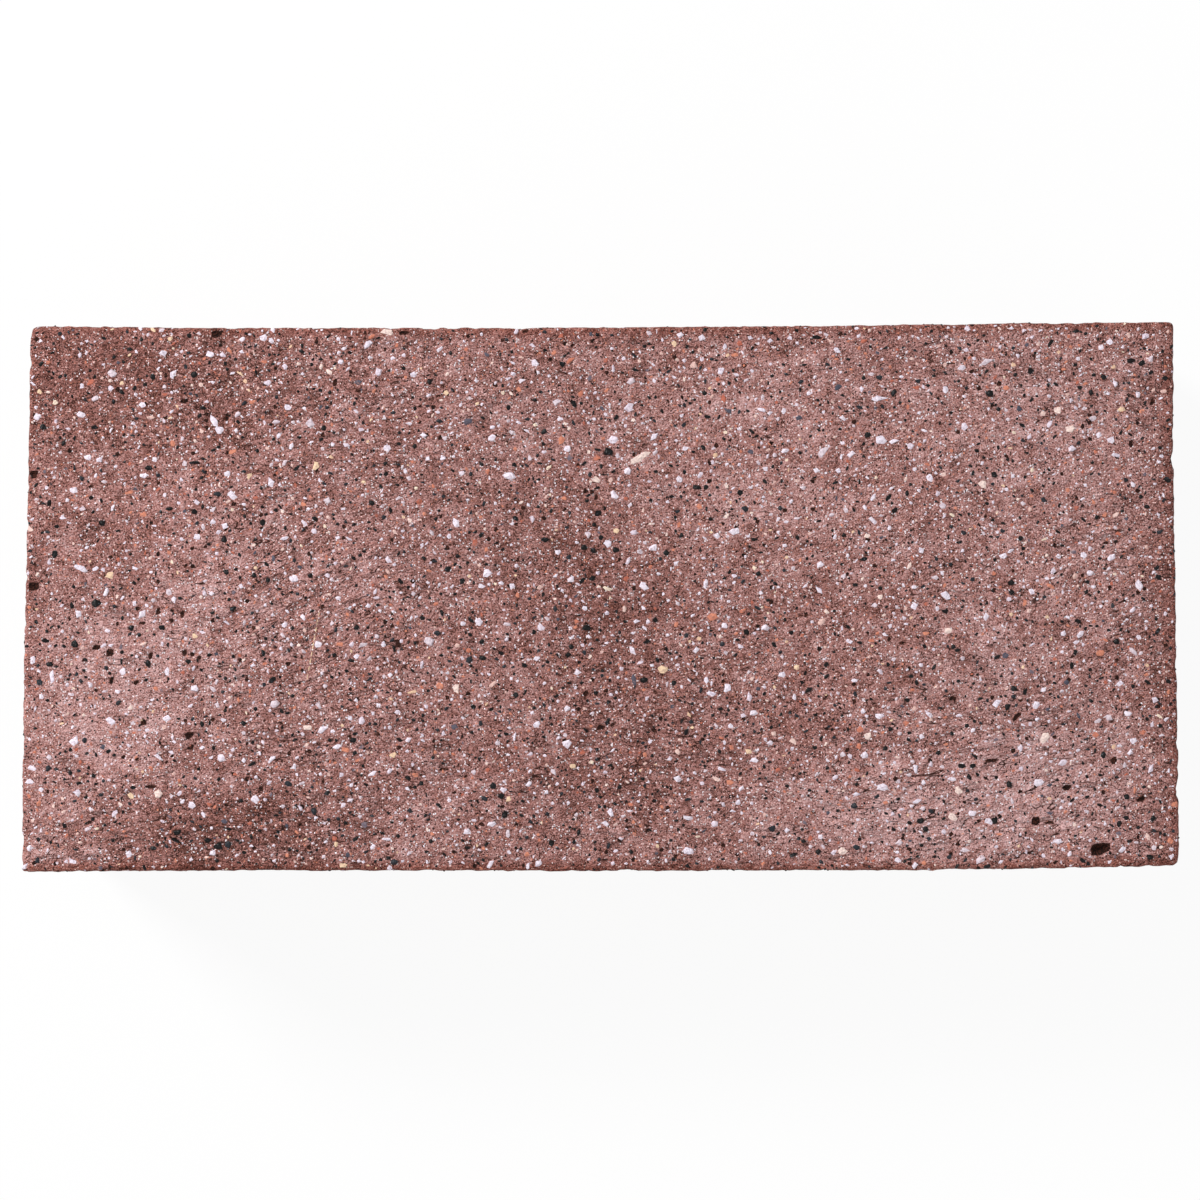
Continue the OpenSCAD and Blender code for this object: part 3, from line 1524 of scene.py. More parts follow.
@dataclass
class StoneBody:
    """The cast block: the solid's form with a fine worn relief, as one closed mesh."""

    name: str = "stone_body"
    map_margin: float = 0.5
    finish: ConcreteFinish = ConcreteFinish()
    grid: BlockGrid = field(default_factory=BlockGrid)
    skin: WornSkin = field(default_factory=WornSkin)

    def build(self) -> bpy.types.Object:
        """Builds and dresses the body.

        Returns:
            The body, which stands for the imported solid.
        """
        smooth = self.grid.mesh(self.name, self.grid.points)
        normals = point_normals(smooth)
        bpy.data.meshes.remove(smooth)
        points = self.skin.wear(self.grid, normals)
        mesh = self.grid.mesh(self.name, points * MM)
        self._dress(mesh, points)
        mesh.shade_smooth()
        stone = new_piece(self.name, mesh, self.finish)
        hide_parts(SOLID)
        return stone

    def _dress(self, mesh: bpy.types.Mesh, points: np.ndarray) -> None:
        """Writes what the finish and the bake read: the tone, the drawn lines and the map.

        Args:
            mesh: the body's mesh.
            points: the worn points.
        """
        up = point_normals(mesh)[:, 2]
        for name, values in self.skin.layers(self.grid, points, up).items():
            Layer.NUMBER.write(mesh, name, "POINT", values)

        x, y, z = points.T
        flow = self.skin.flow(x, y)
        right = x + self.grid.half.x + self.map_margin
        back = y + self.grid.half.y + self.map_margin
        lap_at = self.grid.lap_lengths(points)
        starts = {side: lap_at[place] for side, place in self.grid.side_starts.items()}
        drawn, mapped = [], []
        for corners, region, laps in self.grid.facets:
            if region in starts:
                run, height = lap_at[list(laps)], z[corners]
                drawn.append(np.stack([height, run, np.zeros_like(run)], -1))
                mapped.append(region.on_map(run - starts[region], height))
            else:
                drawn.append(flow[corners])
                mapped.append(region.on_map(right[corners], back[corners]))
        Layer.PLACE.write(mesh, "flow", "CORNER", np.concatenate(drawn))
        write_map(mesh, np.concatenate(mapped))


class GrainKind(Enum):
    """The kinds of sand in the concrete."""

    WHITE = "white"
    BLACK = "black"
    ORANGE = "orange"
    CREAM = "cream"
    ROSE = "rose"
    GREY = "grey"


@dataclass(frozen=True)
class GrainRecipe:
    """How one kind of grain looks and how it is strewn.

    A strewn grain's size is the least one and a random part, of the given spread, up to the
    most. Its outline has a number of sides between two limits, and it stands proud by a share
    of its size. A grain that is listed one by one is swelled by its kind's swell, a little or not
    at all.
    """

    finish: GrainFinish
    tints: tuple[Rgb, ...]
    on_face: int
    least: float
    spread: float
    most: float
    sides: tuple[int, int]
    proud: float
    swell: float


RECIPES: dict[GrainKind, GrainRecipe] = {
    GrainKind.WHITE: GrainRecipe(
        finish=GrainFinish("white_quartz", roughness=0.55, shine=0.25, film_and_glint=-0.03),
        tints=((243, 232, 243), (240, 230, 242), (234, 220, 232), (226, 210, 218)),
        on_face=2800, least=0.43, spread=0.27, most=1.9, sides=(4, 6), proud=0.08, swell=1.1,
    ),
    GrainKind.BLACK: GrainRecipe(
        # The blue-grey film of the black grains is a painted glint.
        finish=GrainFinish(
            "black_basalt", roughness=0.34, shine=0.18, film_and_glint=-0.04, film_and_glint_colour=(98, 105, 116)
        ),
        tints=((5, 5, 6), (12, 12, 14), (6, 5, 6), (38, 42, 48)),
        on_face=2750, least=0.48, spread=0.19, most=1.35, sides=(5, 7), proud=0.15, swell=1.0,
    ),
    GrainKind.ORANGE: GrainRecipe(
        finish=GrainFinish("orange_brick", roughness=0.8, shine=0.13, film_and_glint=0.02),
        tints=((218, 142, 116), (208, 130, 106), (192, 112, 92)),
        on_face=760, least=0.45, spread=0.21, most=1.4, sides=(5, 6), proud=0.05, swell=1.0,
    ),
    GrainKind.CREAM: GrainRecipe(
        finish=GrainFinish("cream_limestone", roughness=0.75, shine=0.15, film_and_glint=-0.02),
        tints=((244, 212, 178), (238, 200, 168), (246, 226, 204)),
        on_face=190, least=0.45, spread=0.2, most=1.3, sides=(5, 6), proud=0.05, swell=1.0,
    ),
    GrainKind.ROSE: GrainRecipe(
        finish=GrainFinish("rose_feldspar", roughness=0.7, shine=0.18, film_and_glint=-0.04),
        tints=((248, 224, 214), (240, 208, 198), (232, 194, 184)),
        on_face=420, least=0.45, spread=0.22, most=1.5, sides=(5, 6), proud=0.06, swell=1.05,
    ),
    GrainKind.GREY: GrainRecipe(
        finish=GrainFinish("grey_slate", roughness=0.6, shine=0.18, film_and_glint=0.0),
        tints=((92, 88, 100), (118, 106, 116), (78, 78, 90)),
        on_face=150, least=0.5, spread=0.25, most=1.4, sides=(5, 6), proud=0.05, swell=1.0,
    ),
}


@dataclass(frozen=True)
class Spot:
    """A grain that catches the eye: its place, length, width if that differs, and turn."""

    x: float
    y: float
    length: float
    width: float | None = None
    turn: float = 0.0

    @classmethod
    def scratch(cls, start: Pair, end: Pair, count: int, width: float) -> list[Spot]:
        """A pale scratch across the face, as a row of thin slivers.

        Args:
            start: one end of the scratch.
            end: its other end.
            count: how many slivers make it up.
            width: how wide it is.

        Returns:
            The slivers.
        """
        run, rise = end[0] - start[0], end[1] - start[1]
        length, turn = math.hypot(run, rise) / count, math.degrees(math.atan2(rise, run))
        shares = [(k + 0.5) / count for k in range(count)]
        return [cls(start[0] + t * run, start[1] + t * rise, length, width, turn) for t in shares]


LANDMARKS: dict[GrainKind, tuple[Spot, ...]] = {
    GrainKind.WHITE: (
        Spot(-102.5, 33, 1.5), Spot(-70, 32, 2.3, 1.3, 115), Spot(-69, 30.5, 1.6, 1.4),
        Spot(-83, 35, 1.8, 1.1, 10), Spot(-66.5, 18.5, 2.2, 1.3, -28), Spot(-93, 25.5, 1.6, 1.4),
        Spot(-55.5, 3.5, 2.2, 1.5, -5), Spot(-77.5, 40.5, 2, 1.4, 70),
        Spot(-67.5, 22.5, 1.5, 1.2, 20), Spot(-61, 47, 1.6, 1.5),
        Spot(-59.5, 46.5, 1.6, 0.9, -45), Spot(-65, 47, 1.4, 1.1),
        Spot(-56.5, 34.5, 1.4, 1.2), Spot(-97.5, 14.5, 1.2, 0.9), Spot(-68, 13, 1.4, 1.2),
        Spot(-73, 11, 1.3, 1.2), Spot(-65, 2, 1.3, 1.1), Spot(5, 23, 1.8, 1.5, -60),
        Spot(-19.5, 29, 1.8, 1.5, 15), Spot(-16.5, 22, 2.3, 1.5, -10), Spot(-6, 27, 1.5, 1.2),
        Spot(2.5, 28.5, 1.7, 1.6), Spot(2.5, 18.5, 2.1, 1.6), Spot(-26, 13.5, 1.8, 1.3, 120),
        Spot(-20.5, 4.5, 1.9, 1.7), Spot(9.5, 9, 1.8, 1.6, 60), Spot(8, 2, 2.1, 1.6, -15),
        Spot(24.5, 12, 2.1, 1.4, 5), Spot(23, -16.5, 1.8, 1.5, 30), Spot(-4, -13.5, 1.4, 1.3),
        Spot(-11.5, -11, 1.4, 1.2), Spot(-22, -4.5, 1.5, 1.4), Spot(-21.5, 2, 1.5, 1.1),
        Spot(-16, 2, 1.5, 1.2, 60), Spot(17.5, -9.5, 1.3), Spot(97.5, 2, 2.5, 1.5, 80),
        Spot(70, -3.5, 1.8, 1.4, 90), Spot(57, -1.5, 1.5, 1.4), Spot(84, -6.5, 1.4, 1, 80),
        Spot(79, -19.5, 1.4), Spot(79.5, -33.5, 1.8, 1.3), Spot(70.5, -40.5, 1.6, 1.3),
        Spot(67.5, -39, 1.4, 1.2), Spot(57, -48.5, 1.6, 1.3), Spot(54, -47.5, 1.4, 1.2),
        Spot(95.5, -21, 1.6, 1.1), Spot(96.5, -26, 1.4, 1.2), Spot(94, -15.5, 1.5, 1.3),
        Spot(102.5, -22, 1.4, 1.1), Spot(96, -28, 1.4, 1.3), Spot(-83, -3, 1.8, 1.4, 50),
        Spot(-86.5, -13.5, 1.6, 1.2, 100), Spot(-78.5, -13.5, 1.6, 1.1, 90),
        Spot(-73.5, -16.5, 1.5, 1.3), Spot(-78.5, -22, 1.4, 1.2), Spot(-101.5, -18, 1.2),
        Spot(-103, -11.5, 1.5, 1, 90), Spot(-95.5, -26, 2, 1.8), Spot(-80, -29, 1.6, 1.3),
        Spot(-68.5, -29, 1.7, 1.5, -40), Spot(-62.5, -36.5, 2, 1.5, -20),
        Spot(-74, -37.5, 1.5, 1.3), Spot(-95, -35.5, 1.6), Spot(-103, -31, 1.8, 1, -20),
        Spot(-103.5, -33.5, 1.6, 1.2), Spot(-95.5, -48, 2, 1, -35),
        Spot(-103.5, -45.5, 1.1), Spot(-85.5, -46.5, 1.6, 1.2, 120),
        Spot(-51, -8.5, 1.6, 1.3), Spot(-44, -10.5, 1.5, 1.2), Spot(-38.5, 27, 1.7, 1.4),
        Spot(-29, 45, 1.7, 1.4), Spot(-12, 42.5, 1.7, 1.4), Spot(14.5, 47.5, 1.5, 1.2),
        Spot(18.5, 47, 1.5, 1.3), Spot(66, 31, 1.8, 1.4), Spot(49.5, 14, 1.9, 1.6),
        Spot(92.5, 28.5, 1.6, 1.3), Spot(85.5, 27, 1.5, 1.3), Spot(73, 7.5, 1.6, 1.4),
        Spot(40, 6, 1.6, 1.3), Spot(44, 32.5, 1.5, 1.2), Spot(45.5, 26, 1.5, 1.3),
        Spot(30, -5.5, 1.6, 1.4), Spot(33, -14, 1.5, 1.2), Spot(-6, -26.5, 1.9, 1.6),
        Spot(-11.5, -23, 1.5, 1.2), Spot(-15.5, -25.5, 2.2, 0.6, 80), Spot(-17.5, -35, 1.6, 1.3),
        Spot(-19.5, -41, 1.7, 1.3), Spot(-24, -42.5, 1.6, 1.3), Spot(1, -41, 1.5, 1.3),
        Spot(28, -21, 1.5, 1.2), Spot(28, -29.5, 1.5, 1.2), Spot(103.5, -47, 1.2),
    ),
    GrainKind.BLACK: (
        Spot(-92, 31, 1.7, 1), Spot(-73.5, 15.5, 1.4, 1.3), Spot(-99, 8, 1.5, 1.2, 80),
        Spot(-91.5, -1, 1.9, 1.6), Spot(-52.5, 4, 1.2), Spot(-82, 23.5, 1.4, 1.1),
        Spot(-90.5, 13.5, 1.4, 1.2), Spot(-73.5, 24.5, 2.4, 0.7), Spot(1.5, 26.5, 1.9, 1.7),
        Spot(17.5, 20, 1.9, 1), Spot(25.5, 19, 1.5, 1.2, 60), Spot(-3, 9, 1.4, 1.2),
        Spot(-10, 10.5, 1.8, 1.1), Spot(-25, 3, 1.4, 1.1, 70), Spot(-1.5, 3.5, 1.4, 1.1, 30),
        Spot(-15.5, 24, 1.3, 1), Spot(-2.5, -5.5, 1.8, 1.3), Spot(10, -4, 1.3, 1.2),
        Spot(8, -15, 1.6, 1.3), Spot(62.5, -2.5, 1.3, 1.1), Spot(74.5, 1, 1.2), Spot(93.5, -8, 1.3),
        Spot(71.5, -40.5, 1.5), Spot(58, -40.5, 1.5, 1.3), Spot(59, -42, 1.2),
        Spot(65.5, -30.5, 1.7, 1), Spot(67.5, -30.5, 1.6, 1), Spot(91, -28.5, 1.3),
        Spot(99.5, -47, 1.8, 1.2, 10), Spot(94, -41, 1.5, 1.1, 90), Spot(100, -40, 1.3),
        Spot(77, -17, 1.6, 1, 80), Spot(75, -16.5, 1.3), Spot(-95.5, -8.5, 1.8, 1.6),
        Spot(-85, -5.5, 1.2), Spot(-79.5, -5.5, 1.2), Spot(-82, -12, 1.5, 1.1, 100),
        Spot(-76.5, -42.5, 1.6, 1.2), Spot(-69, -45, 2, 1.4), Spot(-71, -44, 1.6, 0.9),
        Spot(-81, -45.5, 1.4, 1), Spot(-61, -10, 1.5, 1, 110), Spot(-66.5, -2, 1.5, 1.3),
        Spot(70.5, 37, 1.6, 1.3), Spot(78, 41, 1.5, 1.2), Spot(48.5, 29.5, 1.6, 1.3),
        Spot(-18, -36, 1.5, 1.2),
    ),
    GrainKind.ORANGE: (
        Spot(-7, 28.5, 1.8, 1.3, 80), Spot(20.5, -3.5, 2, 1.6), Spot(-29, -16, 1.6, 1.3),
        Spot(-47, -8.5, 1.4, 1.1), Spot(-77.5, 28, 1.5, 1.1, 95), Spot(-63, 35.5, 1.3, 1),
        Spot(-85.5, 19, 2, 1.1), Spot(-46, -27.5, 1.6, 1.2), Spot(23.5, -33.5, 1.6, 1.2),
        Spot(73.5, 38, 1.6, 1.2), Spot(90.5, -10, 1.8, 1.3), Spot(104, -37.5, 1.2),
        Spot(59, -6.5, 1.4, 1), Spot(24.5, 44, 1.5, 1.2), Spot(-15, 0.5, 1.6, 1, 110),
        Spot(77, -1, 1.4, 1, 80), Spot(18, 16.5, 1.3), Spot(-80.5, -16.5, 1.2),
    ),
    GrainKind.CREAM: (
        Spot(-51.5, 24, 2, 1.5, 70), Spot(-63.5, 22, 1.2), Spot(-78, 47, 1.3, 1),
        Spot(-87, 39, 1.1), Spot(-89, 4, 1.8, 1.6), Spot(13.5, 46, 1.3),
        Spot(-28, 37, 1.4, 1.1), Spot(94.5, 34, 1.5, 1.2), Spot(-85, -36, 1.3),
        Spot(-37.5, -28.5, 1.5, 1.2), Spot(-46.5, -48.5, 1.4, 1),
        Spot(11.5, -13, 2, 1.6, -20), Spot(-5, -30.5, 1.5, 1.2), Spot(-16.5, -36.5, 1.3),
        Spot(74.5, -3, 1.1, 0.9), Spot(-73.5, -7, 1.2), Spot(27, -28, 1.5, 1.2),
        *Spot.scratch((-50.8, -2.4), (-53.1, -15.1), 9, 0.24),
    ),
    GrainKind.ROSE: (
        Spot(7.5, 25.5, 4.6, 1.5, 30), Spot(80.5, -25.5, 2.9, 1.6, 60), Spot(48.5, -25, 1.8, 1.4),
        Spot(85, 30.5, 1.9, 1.4), Spot(83, 34, 1.8, 1.4), Spot(69.5, 20.5, 1.9, 1.5),
        Spot(64, -40, 2.1, 1.4, -50), Spot(44, -46, 1.9, 1.4), Spot(63, -6, 1.8, 1.6),
        Spot(-0.5, 21.5, 1.8, 1.4), Spot(-26, -16.5, 1.9, 1.4, 100), Spot(-80, -35.5, 1.7, 1.6),
        Spot(-53, -23.5, 1.9, 1.3), Spot(65, -35, 1.8, 1.6), Spot(-38.5, 48, 2.6, 1.2, -10),
    ),
    GrainKind.GREY: (
        Spot(-24, 32, 2, 1.5, 20), Spot(-44, 39, 1.6, 1.2), Spot(6, -15, 2.1, 1.4, 100),
        Spot(-68, -40.5, 1.6, 1.1), Spot(73.5, -10.5, 1.8, 1.7), Spot(81.5, -39, 1.4, 1),
        Spot(-26.5, -23.5, 1.6, 1.3),
    ),
}


class Grain(NamedTuple):
    """A grain in the skin: its point, the way out there, its length, its width and its turn."""

    point: Vector
    out: Vector
    length: float
    width: float
    turn: float


@dataclass(frozen=True)
class GrainForm:
    """How a grain is broken: a low crown, a shoulder at the skin and a root in the paste."""

    tilt: float = 0.07
    # A grain whose way out rises by more than this is turned from +X, and others from upright.
    level_above: float = 0.5
    # How proud a grain stands: by chance, and with its size up to a limit.
    proud_least: float = 0.5
    proud_start: float = 0.4
    proud_most: float = 2.6
    crown: float = 1.15
    # The corners of its outline: how far each may wander to its neighbours, and its reach.
    wander: float = 0.34
    reach: Pair = (0.78, 1.15)
    # Rings below the crown, as shares of the outline.
    top_share: float = 0.78
    top_uneven: float = 0.9
    shoulder: float = -0.02
    root_share: float = 0.8
    root_slope: float = 0.35
    root_depth: float = 0.1
    tip_depth: float = 0.15
    # Fine grains have one ring.
    fine_below: float = 0.75
    fine_proud: float = 0.4
    fine_uneven: float = 0.4

    def build(
        self, recipe: GrainRecipe, grain: Grain, rng: random.Random
    ) -> tuple[list[list[Vector]], list[list[int]]]:
        """Builds one grain.

        Args:
            recipe: how its kind looks.
            grain: where and how it sits.
            rng: the source of its breaks.

        Returns:
            Its points in rings from the crown to the root, and its faces.
        """
        sides = rng.randint(*recipe.sides)
        tilt = Vector([rng.gauss(0, self.tilt) for _ in range(3)])
        place = self._setting((grain.out + tilt).normalized(), grain.turn)
        size = math.sqrt(grain.length * grain.width)
        bulk = min(self.proud_most, self.proud_start + size)
        proud = recipe.proud * (self.proud_least + rng.random()) * bulk
        outline = self._outline(grain, sides, rng)
        drops = [proud * rng.random() for _ in range(sides)]

        root = -self.root_slope * size
        steps = [
            (self.top_share, proud, self.top_uneven),
            (1.0, self.shoulder, 0.0),
            (self.root_share, root - self.root_depth, 0.0),
        ]
        if size < self.fine_below:
            steps = [(1.0, self.fine_proud * proud, self.fine_uneven)]
        rings = [[Vector((0, 0, proud * self.crown))]]
        for share, height, uneven in steps:
            rings.append([])
            for (along, across), drop in zip(outline, drops):
                rings[-1].append(Vector((share * along, share * across, height - uneven * drop)))
        rings.append([Vector((0, 0, root - self.tip_depth))])
        rings = [[grain.point + place @ corner for corner in ring] for ring in rings]
        for corner in (corner for ring in rings for corner in ring):
            corner.z = max(corner.z, 0)
        return rings, self._faces(sides, len(steps))

    def _setting(self, out: Vector, turn: float) -> Matrix:
        """Finds how a grain is set in the skin.

        Args:
            out: its way out.
            turn: its turn about it.

        Returns:
            The turn from the grain's own axes to the stone's.
        """
        heading = X_AXIS if abs(out.z) > self.level_above else Z_AXIS
        heading = (heading - out * heading.dot(out)).normalized()
        along = Matrix.Rotation(turn, 3, out) @ heading
        return Matrix((along, out.cross(along), out)).transposed()

    def _outline(self, grain: Grain, sides: int, rng: random.Random) -> list[Pair]:
        """Draws a grain's broken outline.

        Args:
            grain: its length and width.
            sides: how many corners it has.
            rng: the source of its breaks.

        Returns:
            The corners, along and across the grain.
        """
        outline = []
        for k in range(sides):
            angle = 2 * math.pi * (k + rng.uniform(-self.wander, self.wander)) / sides
            far = rng.uniform(*self.reach)
            along = far * grain.length / 2 * math.cos(angle)
            outline.append((along, far * grain.width / 2 * math.sin(angle)))
        return outline

    def _faces(self, sides: int, rings: int) -> list[list[int]]:
        """Joins a grain's crown, its rings and its tip.

        Args:
            sides: the points of each ring.
            rings: how many rings there are.

        Returns:
            The faces.
        """
        faces = [[0, 1 + k, 1 + (k + 1) % sides] for k in range(sides)]
        last = 1 + sides * (rings - 1)
        for ring in range(1, last, sides):
            for k in range(sides):
                after = (k + 1) % sides
                faces.append([ring + k, ring + sides + k, ring + sides + after, ring + after])
        faces += [[last + (k + 1) % sides, last + k, last + sides] for k in range(sides)]
        return faces


@dataclass
class SandField:
    """The sand grains that show in the stone's skin, as one joined mesh for each kind."""

    seed: int = 5
    form: GrainForm = GrainForm()
    # How thickly the sides and the bed are strewn, for 1 on the face.
    side_share: float = 0.6
    bed_share: float = 0.4
    face_up: float = 0.4
    bed_up: float = -0.5
    # Grains of a larger radius than this stay off the eased edges, which lie above this height.
    rim_grain: float = 0.3
    rim_up: float = 0.88
    rim_z: float = 54.0
    # The gap between neighbours, and how often a grain looks for a free place.
    gap: float = 0.1
    tries: int = 12
    # A strewn grain's width as a share of its length, and the middle and spread of its turn,
    # in radians.
    slimness: Pair = (0.42, 1.0)
    turn: Pair = (0.1, 0.9)
    # A grain that is listed one by one is looked for from this height, and set nearly level.
    above: float = 200.0
    levelled: float = 3.0
    # The width of a cell in which neighbours are looked for, and a grain's reach in its cell
    # of the map.
    cell: float = 3.0
    map_reach: float = 0.46
    rng: random.Random = field(init=False)
    taken: dict[tuple[int, int, int], list[tuple[Vector, float]]] = field(init=False)
    corners: np.ndarray = field(init=False)
    normals: np.ndarray = field(init=False)
    reach: np.ndarray = field(init=False)
    face_area: float = field(init=False)
    tree: BVHTree = field(init=False)

    def build(self, stone: bpy.types.Object, skin: WornSkin) -> list[bpy.types.Object]:
        """Builds and dresses the grains.

        Args:
            stone: the body that they sit in.
            skin: its pits and air holes, which stay clear of sand.

        Returns:
            One piece for each kind of grain.
        """
        self._read_skin(stone.data)
        self.rng = random.Random(self.seed)
        self.taken = {}
        for pit in skin.pits:
            self._claim(self._on_face(pit.x, pit.y)[0], pit.length / 2)
        for hole in skin.air_holes:
            self._claim(Vector(hole.at), hole.radius / 2)
        made = {
            kind: [self._placed(kind, spot) for spot in spots] for kind, spots in LANDMARKS.items()
        }
        for kind, size in self._sizes():
            place = self._free_spot(size / 2)
            if place:
                slim = math.sqrt(self.rng.uniform(*self.slimness))
                turn = self.rng.gauss(*self.turn)
                made[kind].append(Grain(*place, size / slim, size * slim, turn))
        return [self._piece(kind, grains) for kind, grains in made.items()]

    def _read_skin(self, mesh: bpy.types.Mesh) -> None:
        """Reads the body's surface, and how likely a grain is on each triangle.

        Args:
            mesh: the body's mesh.
        """
        mesh.calc_loop_triangles()
        ids = np.empty(len(mesh.loop_triangles) * 3, np.int32)
        mesh.loop_triangles.foreach_get("vertices", ids)
        ids = ids.reshape(-1, 3)
        points = np.empty(len(mesh.vertices) * 3)
        mesh.vertices.foreach_get("co", points)
        points = points.reshape(-1, 3) / MM
        self.corners = points[ids]
        first, second, third = self.corners.transpose(1, 0, 2)
        cross = np.cross(second - first, third - first)
        area = np.linalg.norm(cross, axis=1) / 2
        self.normals = cross / np.maximum(2 * area, np.finfo(float).tiny)[:, None]
        up = self.normals[:, 2]
        on_face, on_bed = up > self.face_up, up < self.bed_up
        share = np.where(on_face, 1.0, np.where(on_bed, self.bed_share, self.side_share))
        self.reach = np.cumsum(area * share)
        self.face_area = area[on_face].sum()
        self.tree = BVHTree.FromPolygons(points.tolist(), ids.tolist())

    def _on_face(self, x: float, y: float) -> tuple[Vector, Vector]:
        """The point of the worn face over a place, and the way out there."""
        point, normal, _, _ = self.tree.ray_cast(Vector((x, y, self.above)), -Z_AXIS)
        return point, (normal + self.levelled * Z_AXIS).normalized()

    def _placed(self, kind: GrainKind, spot: Spot) -> Grain:
        """Sets a grain that is listed one by one.

        Args:
            kind: its kind.
            spot: its place and size.

        Returns:
            The grain.
        """
        point, out = self._on_face(spot.x, spot.y)
        swell = RECIPES[kind].swell
        length, width = spot.length * swell, (spot.width or spot.length) * swell
        self._claim(point, (length + width) / 4)
        return Grain(point, out, length, width, math.radians(spot.turn))

    def _sizes(self) -> list[tuple[GrainKind, float]]:
        """Draws the kind and size of every strewn grain.

        Returns:
            The grains, the largest first.
        """
        whole = self.reach[-1] / self.face_area
        grains = []
        for kind, recipe in RECIPES.items():
            for _ in range(round(recipe.on_face * whole)):
                size = recipe.least + self.rng.expovariate(1 / recipe.spread)
                grains.append((kind, min(size, recipe.most)))
        return sorted(grains, key=lambda grain: -grain[1])

    def _free_spot(self, radius: float) -> tuple[Vector, Vector] | None:
        """Finds a place on the skin that no other grain takes.

        Args:
            radius: the grain's radius.

        Returns:
            The point and the way out there, or None if no free place turned up.
        """
        for _ in range(self.tries):
            pick = np.searchsorted(self.reach, self.rng.random() * self.reach[-1])
            a, b = self.rng.random(), self.rng.random()
            if a + b > 1:
                a, b = 1 - a, 1 - b
            first, second, third = self.corners[pick]
            on_rim = self.normals[pick, 2] < self.rim_up and first[2] > self.rim_z
            if radius > self.rim_grain and on_rim:
                continue
            point = Vector(first + a * (second - first) + b * (third - first))
            if self._free(point, radius):
                self._claim(point, radius)
                return point, Vector(self.normals[pick])
        return None

    def _cell(self, point: Vector) -> tuple[int, int, int]:
        """The cell of space that holds a point."""
        return tuple(int(c // self.cell) for c in point)

    def _claim(self, point: Vector, radius: float) -> None:
        """Marks a place as taken."""
        self.taken.setdefault(self._cell(point), []).append((point, radius))

    def _free(self, point: Vector, radius: float) -> bool:
        """Finds whether a grain clears all the others.

        Args:
            point: the grain's place.
            radius: its radius.

        Returns:
            True if it does.
        """
        i, j, k = self._cell(point)
        steps = (-1, 0, 1)
        near = ((i + a, j + b, k + c) for a in steps for b in steps for c in steps)
        others = (other for cell in near for other in self.taken.get(cell, ()))
        return all((point - at).length > radius + other + self.gap for at, other in others)

    def _piece(self, kind: GrainKind, grains: list[Grain]) -> bpy.types.Object:
        """Joins the grains of one kind into a piece.

        Args:
            kind: the kind of grain.
            grains: the grains, with the listed ones first.

        Returns:
            The piece.
        """
        recipe = RECIPES[kind]
        points, faces, tints, places = [], [], [], []
        across = math.ceil(math.sqrt(len(grains)))
        for index, grain in enumerate(grains):
            by_hand = index < len(LANDMARKS[kind])
            tint = linear(self.rng.choice(recipe.tints[:1] if by_hand else recipe.tints))
            start = len(points)
            rings, grain_faces = self.form.build(recipe, grain, self.rng)
            points += [point for ring in rings for point in ring]
            faces += [[start + c for c in corners] for corners in grain_faces]
            tints += [tint] * (len(points) - start)
            cell = ((index % across + 0.5) / across, (index // across + 0.5) / across)
            places += self._on_map(rings, cell, self.map_reach / across)
        name = f"{kind.value}_sand"
        mesh = new_mesh(name, [p * MM for p in points], faces)
        Layer.COLOUR.write(mesh, "tint", "POINT", tints)
        corner_points = np.empty(len(mesh.loops), np.int32)
        mesh.loops.foreach_get("vertex_index", corner_points)
        write_map(mesh, np.array(places)[corner_points])
        return new_piece(name, mesh, recipe.finish)

    def _on_map(self, rings: list[list[Vector]], cell: Pair, reach: float) -> list[Pair]:
        """Spreads a grain's rings like an open umbrella over its cell of the bake's map.

        Args:
            rings: the grain's points, from the crown to the root.
            cell: the middle of the cell.
            reach: how far the outermost ring lies from it.

        Returns:
            A place for each point, in the same order.
        """
        places = []
        for depth, ring in enumerate(rings):
            far = reach * depth / (len(rings) - 1)
            for k in range(len(ring)):
                angle = 2 * math.pi * k / len(ring)
                places.append((cell[0] + far * math.cos(angle), cell[1] + far * math.sin(angle)))
        return places


@dataclass(frozen=True)
class Lamp:
    """A square soft box: where it hangs, how wide it is and how brightly it lights the face.

    How far off it hangs and its width are in metres.
    """

    name: str
    way: Triple
    far: float
    width: float
    level: float

    def hang(self, aim: Vector) -> None:
        """Hangs the lamp, aimed at a point.

        Args:
            aim: the point that it lights.
        """
        data = bpy.data.lights.new(self.name, "AREA")
        data.shape = "SQUARE"
        data.size = self.width
        way = Vector(self.way).normalized()
        # The power at which this lamp alone shows a white, level face at that brightness.
        data.energy = self.level * math.pi**2 * self.far**2 / way.z
        lamp = bpy.data.objects.new(self.name, data)
        lamp.location = aim + way * self.far
        lamp.rotation_euler = way.to_track_quat("Z", "Y").to_euler()
        lamp.visible_camera = False
        bpy.context.scene.collection.objects.link(lamp)


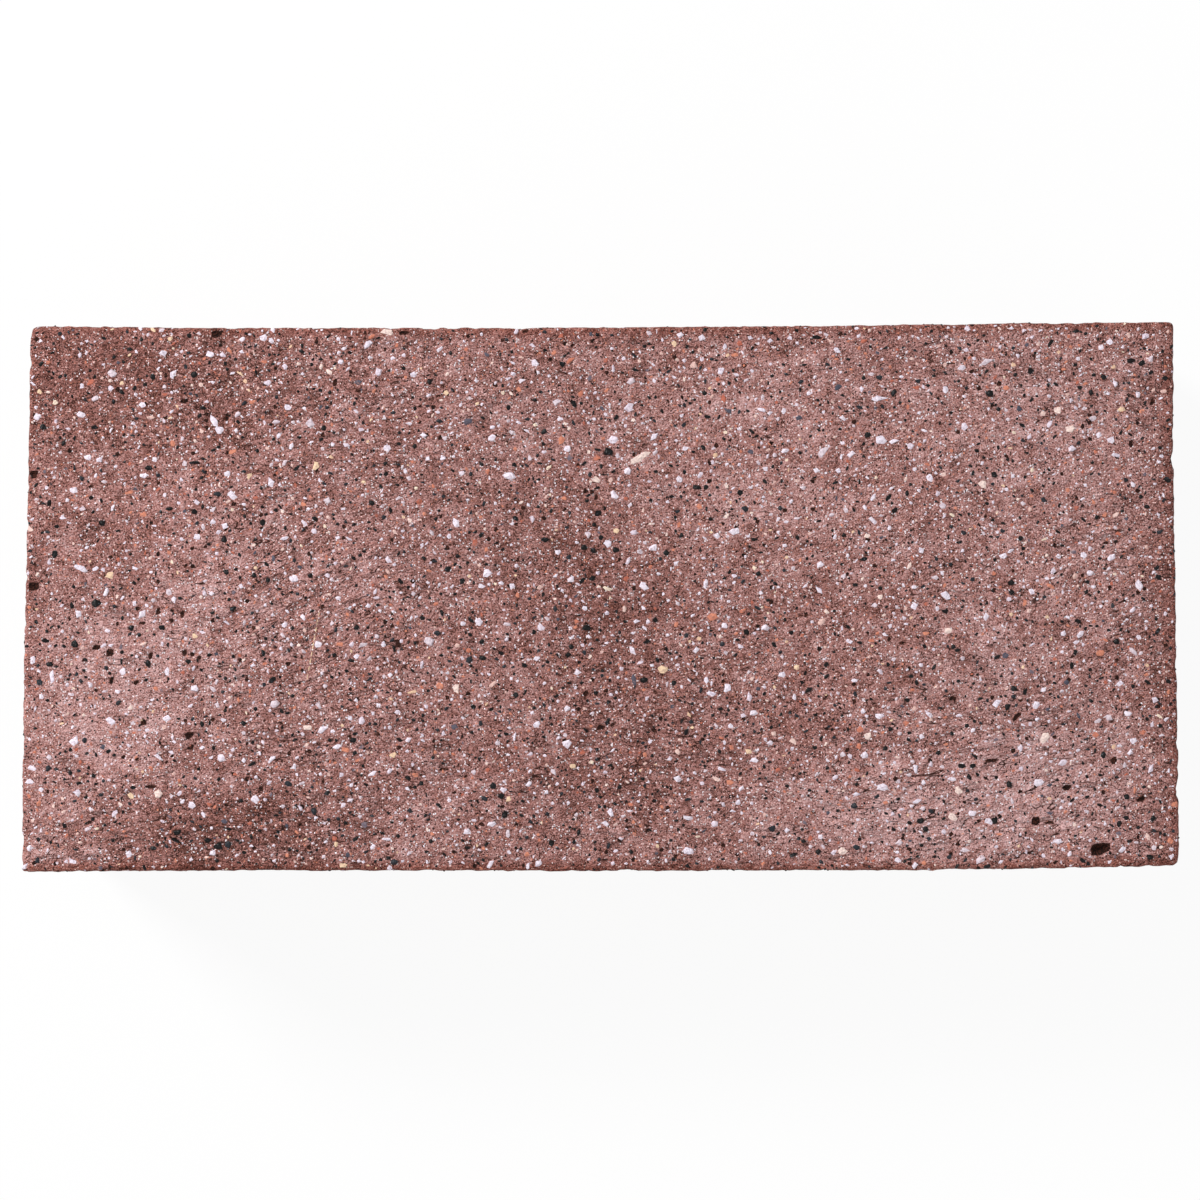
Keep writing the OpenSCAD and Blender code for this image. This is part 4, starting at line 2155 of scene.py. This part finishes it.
@dataclass
class Studio:
    """A white floor, soft lamps and a camera that looks straight down on the face."""

    lens: float = 100.0
    sensor: float = 36.0
    # What the picture spans at the height of the face, and its middle.
    view_width: float = 217.2
    view_centre: Pair = (0.0, -0.45)
    # The floor's size in metres, and how bright the room is as a light and to the lens.
    floor_size: float = 6.0
    sky: float = 0.39
    white: float = 1.0
    lamps: tuple[Lamp, ...] = (
        Lamp("key_lamp", (-0.72, 0.5, 0.66), far=1.2, width=0.3, level=0.62),
        Lamp("fill_lamp", (0.7, -0.6, 0.8), far=1.4, width=0.9, level=0.1),
    )
    floor: FloorFinish = FloorFinish()

    def build(self, face_z: float) -> None:
        """Sets the floor, the lamps, the sky and the camera.

        Args:
            face_z: the height of the stone's face, in metres.
        """
        self._lay_floor()
        self._light_sky()
        for lamp in self.lamps:
            lamp.hang(face_z * Z_AXIS)
        self._place_camera(face_z)
        bpy.context.scene.view_settings.view_transform = "Standard"

    def _lay_floor(self) -> None:
        """Lays the white floor under the stone."""
        half = self.floor_size / 2
        corners = [(-half, -half, 0), (half, -half, 0), (half, half, 0), (-half, half, 0)]
        mesh = new_mesh("floor", corners, [(0, 1, 2, 3)])
        mesh.materials.append(self.floor.material())
        floor = bpy.data.objects.new("floor", mesh)
        bpy.context.scene.collection.objects.link(floor)

    def _light_sky(self) -> None:
        """Lights the room evenly, and shows it white to the lens."""
        world = bpy.data.worlds.new("room")
        world.use_nodes = True
        bpy.context.scene.world = world
        sheet = NodeSheet(world.node_tree, "ShaderNodeOutputWorld")
        backgrounds = []
        for strength in (self.sky, self.white):
            background = sheet.add("ShaderNodeBackground")
            background.inputs["Color"].default_value = (1, 1, 1, 1)
            background.inputs["Strength"].default_value = strength
            backgrounds.append(background)
        sheet.show_mix(sheet.seen(), *backgrounds)

    def _place_camera(self, face_z: float) -> None:
        """Places the camera over the face, so that the picture is as wide as the photograph.

        Args:
            face_z: the height of the stone's face, in metres.
        """
        data = bpy.data.cameras.new("camera")
        data.lens = self.lens
        data.sensor_width = self.sensor
        camera = bpy.data.objects.new("camera", data)
        height = self.view_width * MM * self.lens / self.sensor
        camera.location = (self.view_centre[0] * MM, self.view_centre[1] * MM, face_z + height)
        bpy.context.scene.collection.objects.link(camera)
        bpy.context.scene.camera = camera


def main() -> None:
    """Builds the stone, its sand and the studio, in that order."""
    logging.basicConfig(level=logging.INFO, format="%(name)s: %(message)s")
    body = StoneBody()
    stone = body.build()
    LOG.info("%s: %d faces", stone.name, len(stone.data.polygons))
    for piece in SandField().build(stone, body.skin):
        LOG.info("%s: %d faces", piece.name, len(piece.data.polygons))
    Studio().build(CAD_BOX[1].z)


if __name__ == "__main__":
    main()
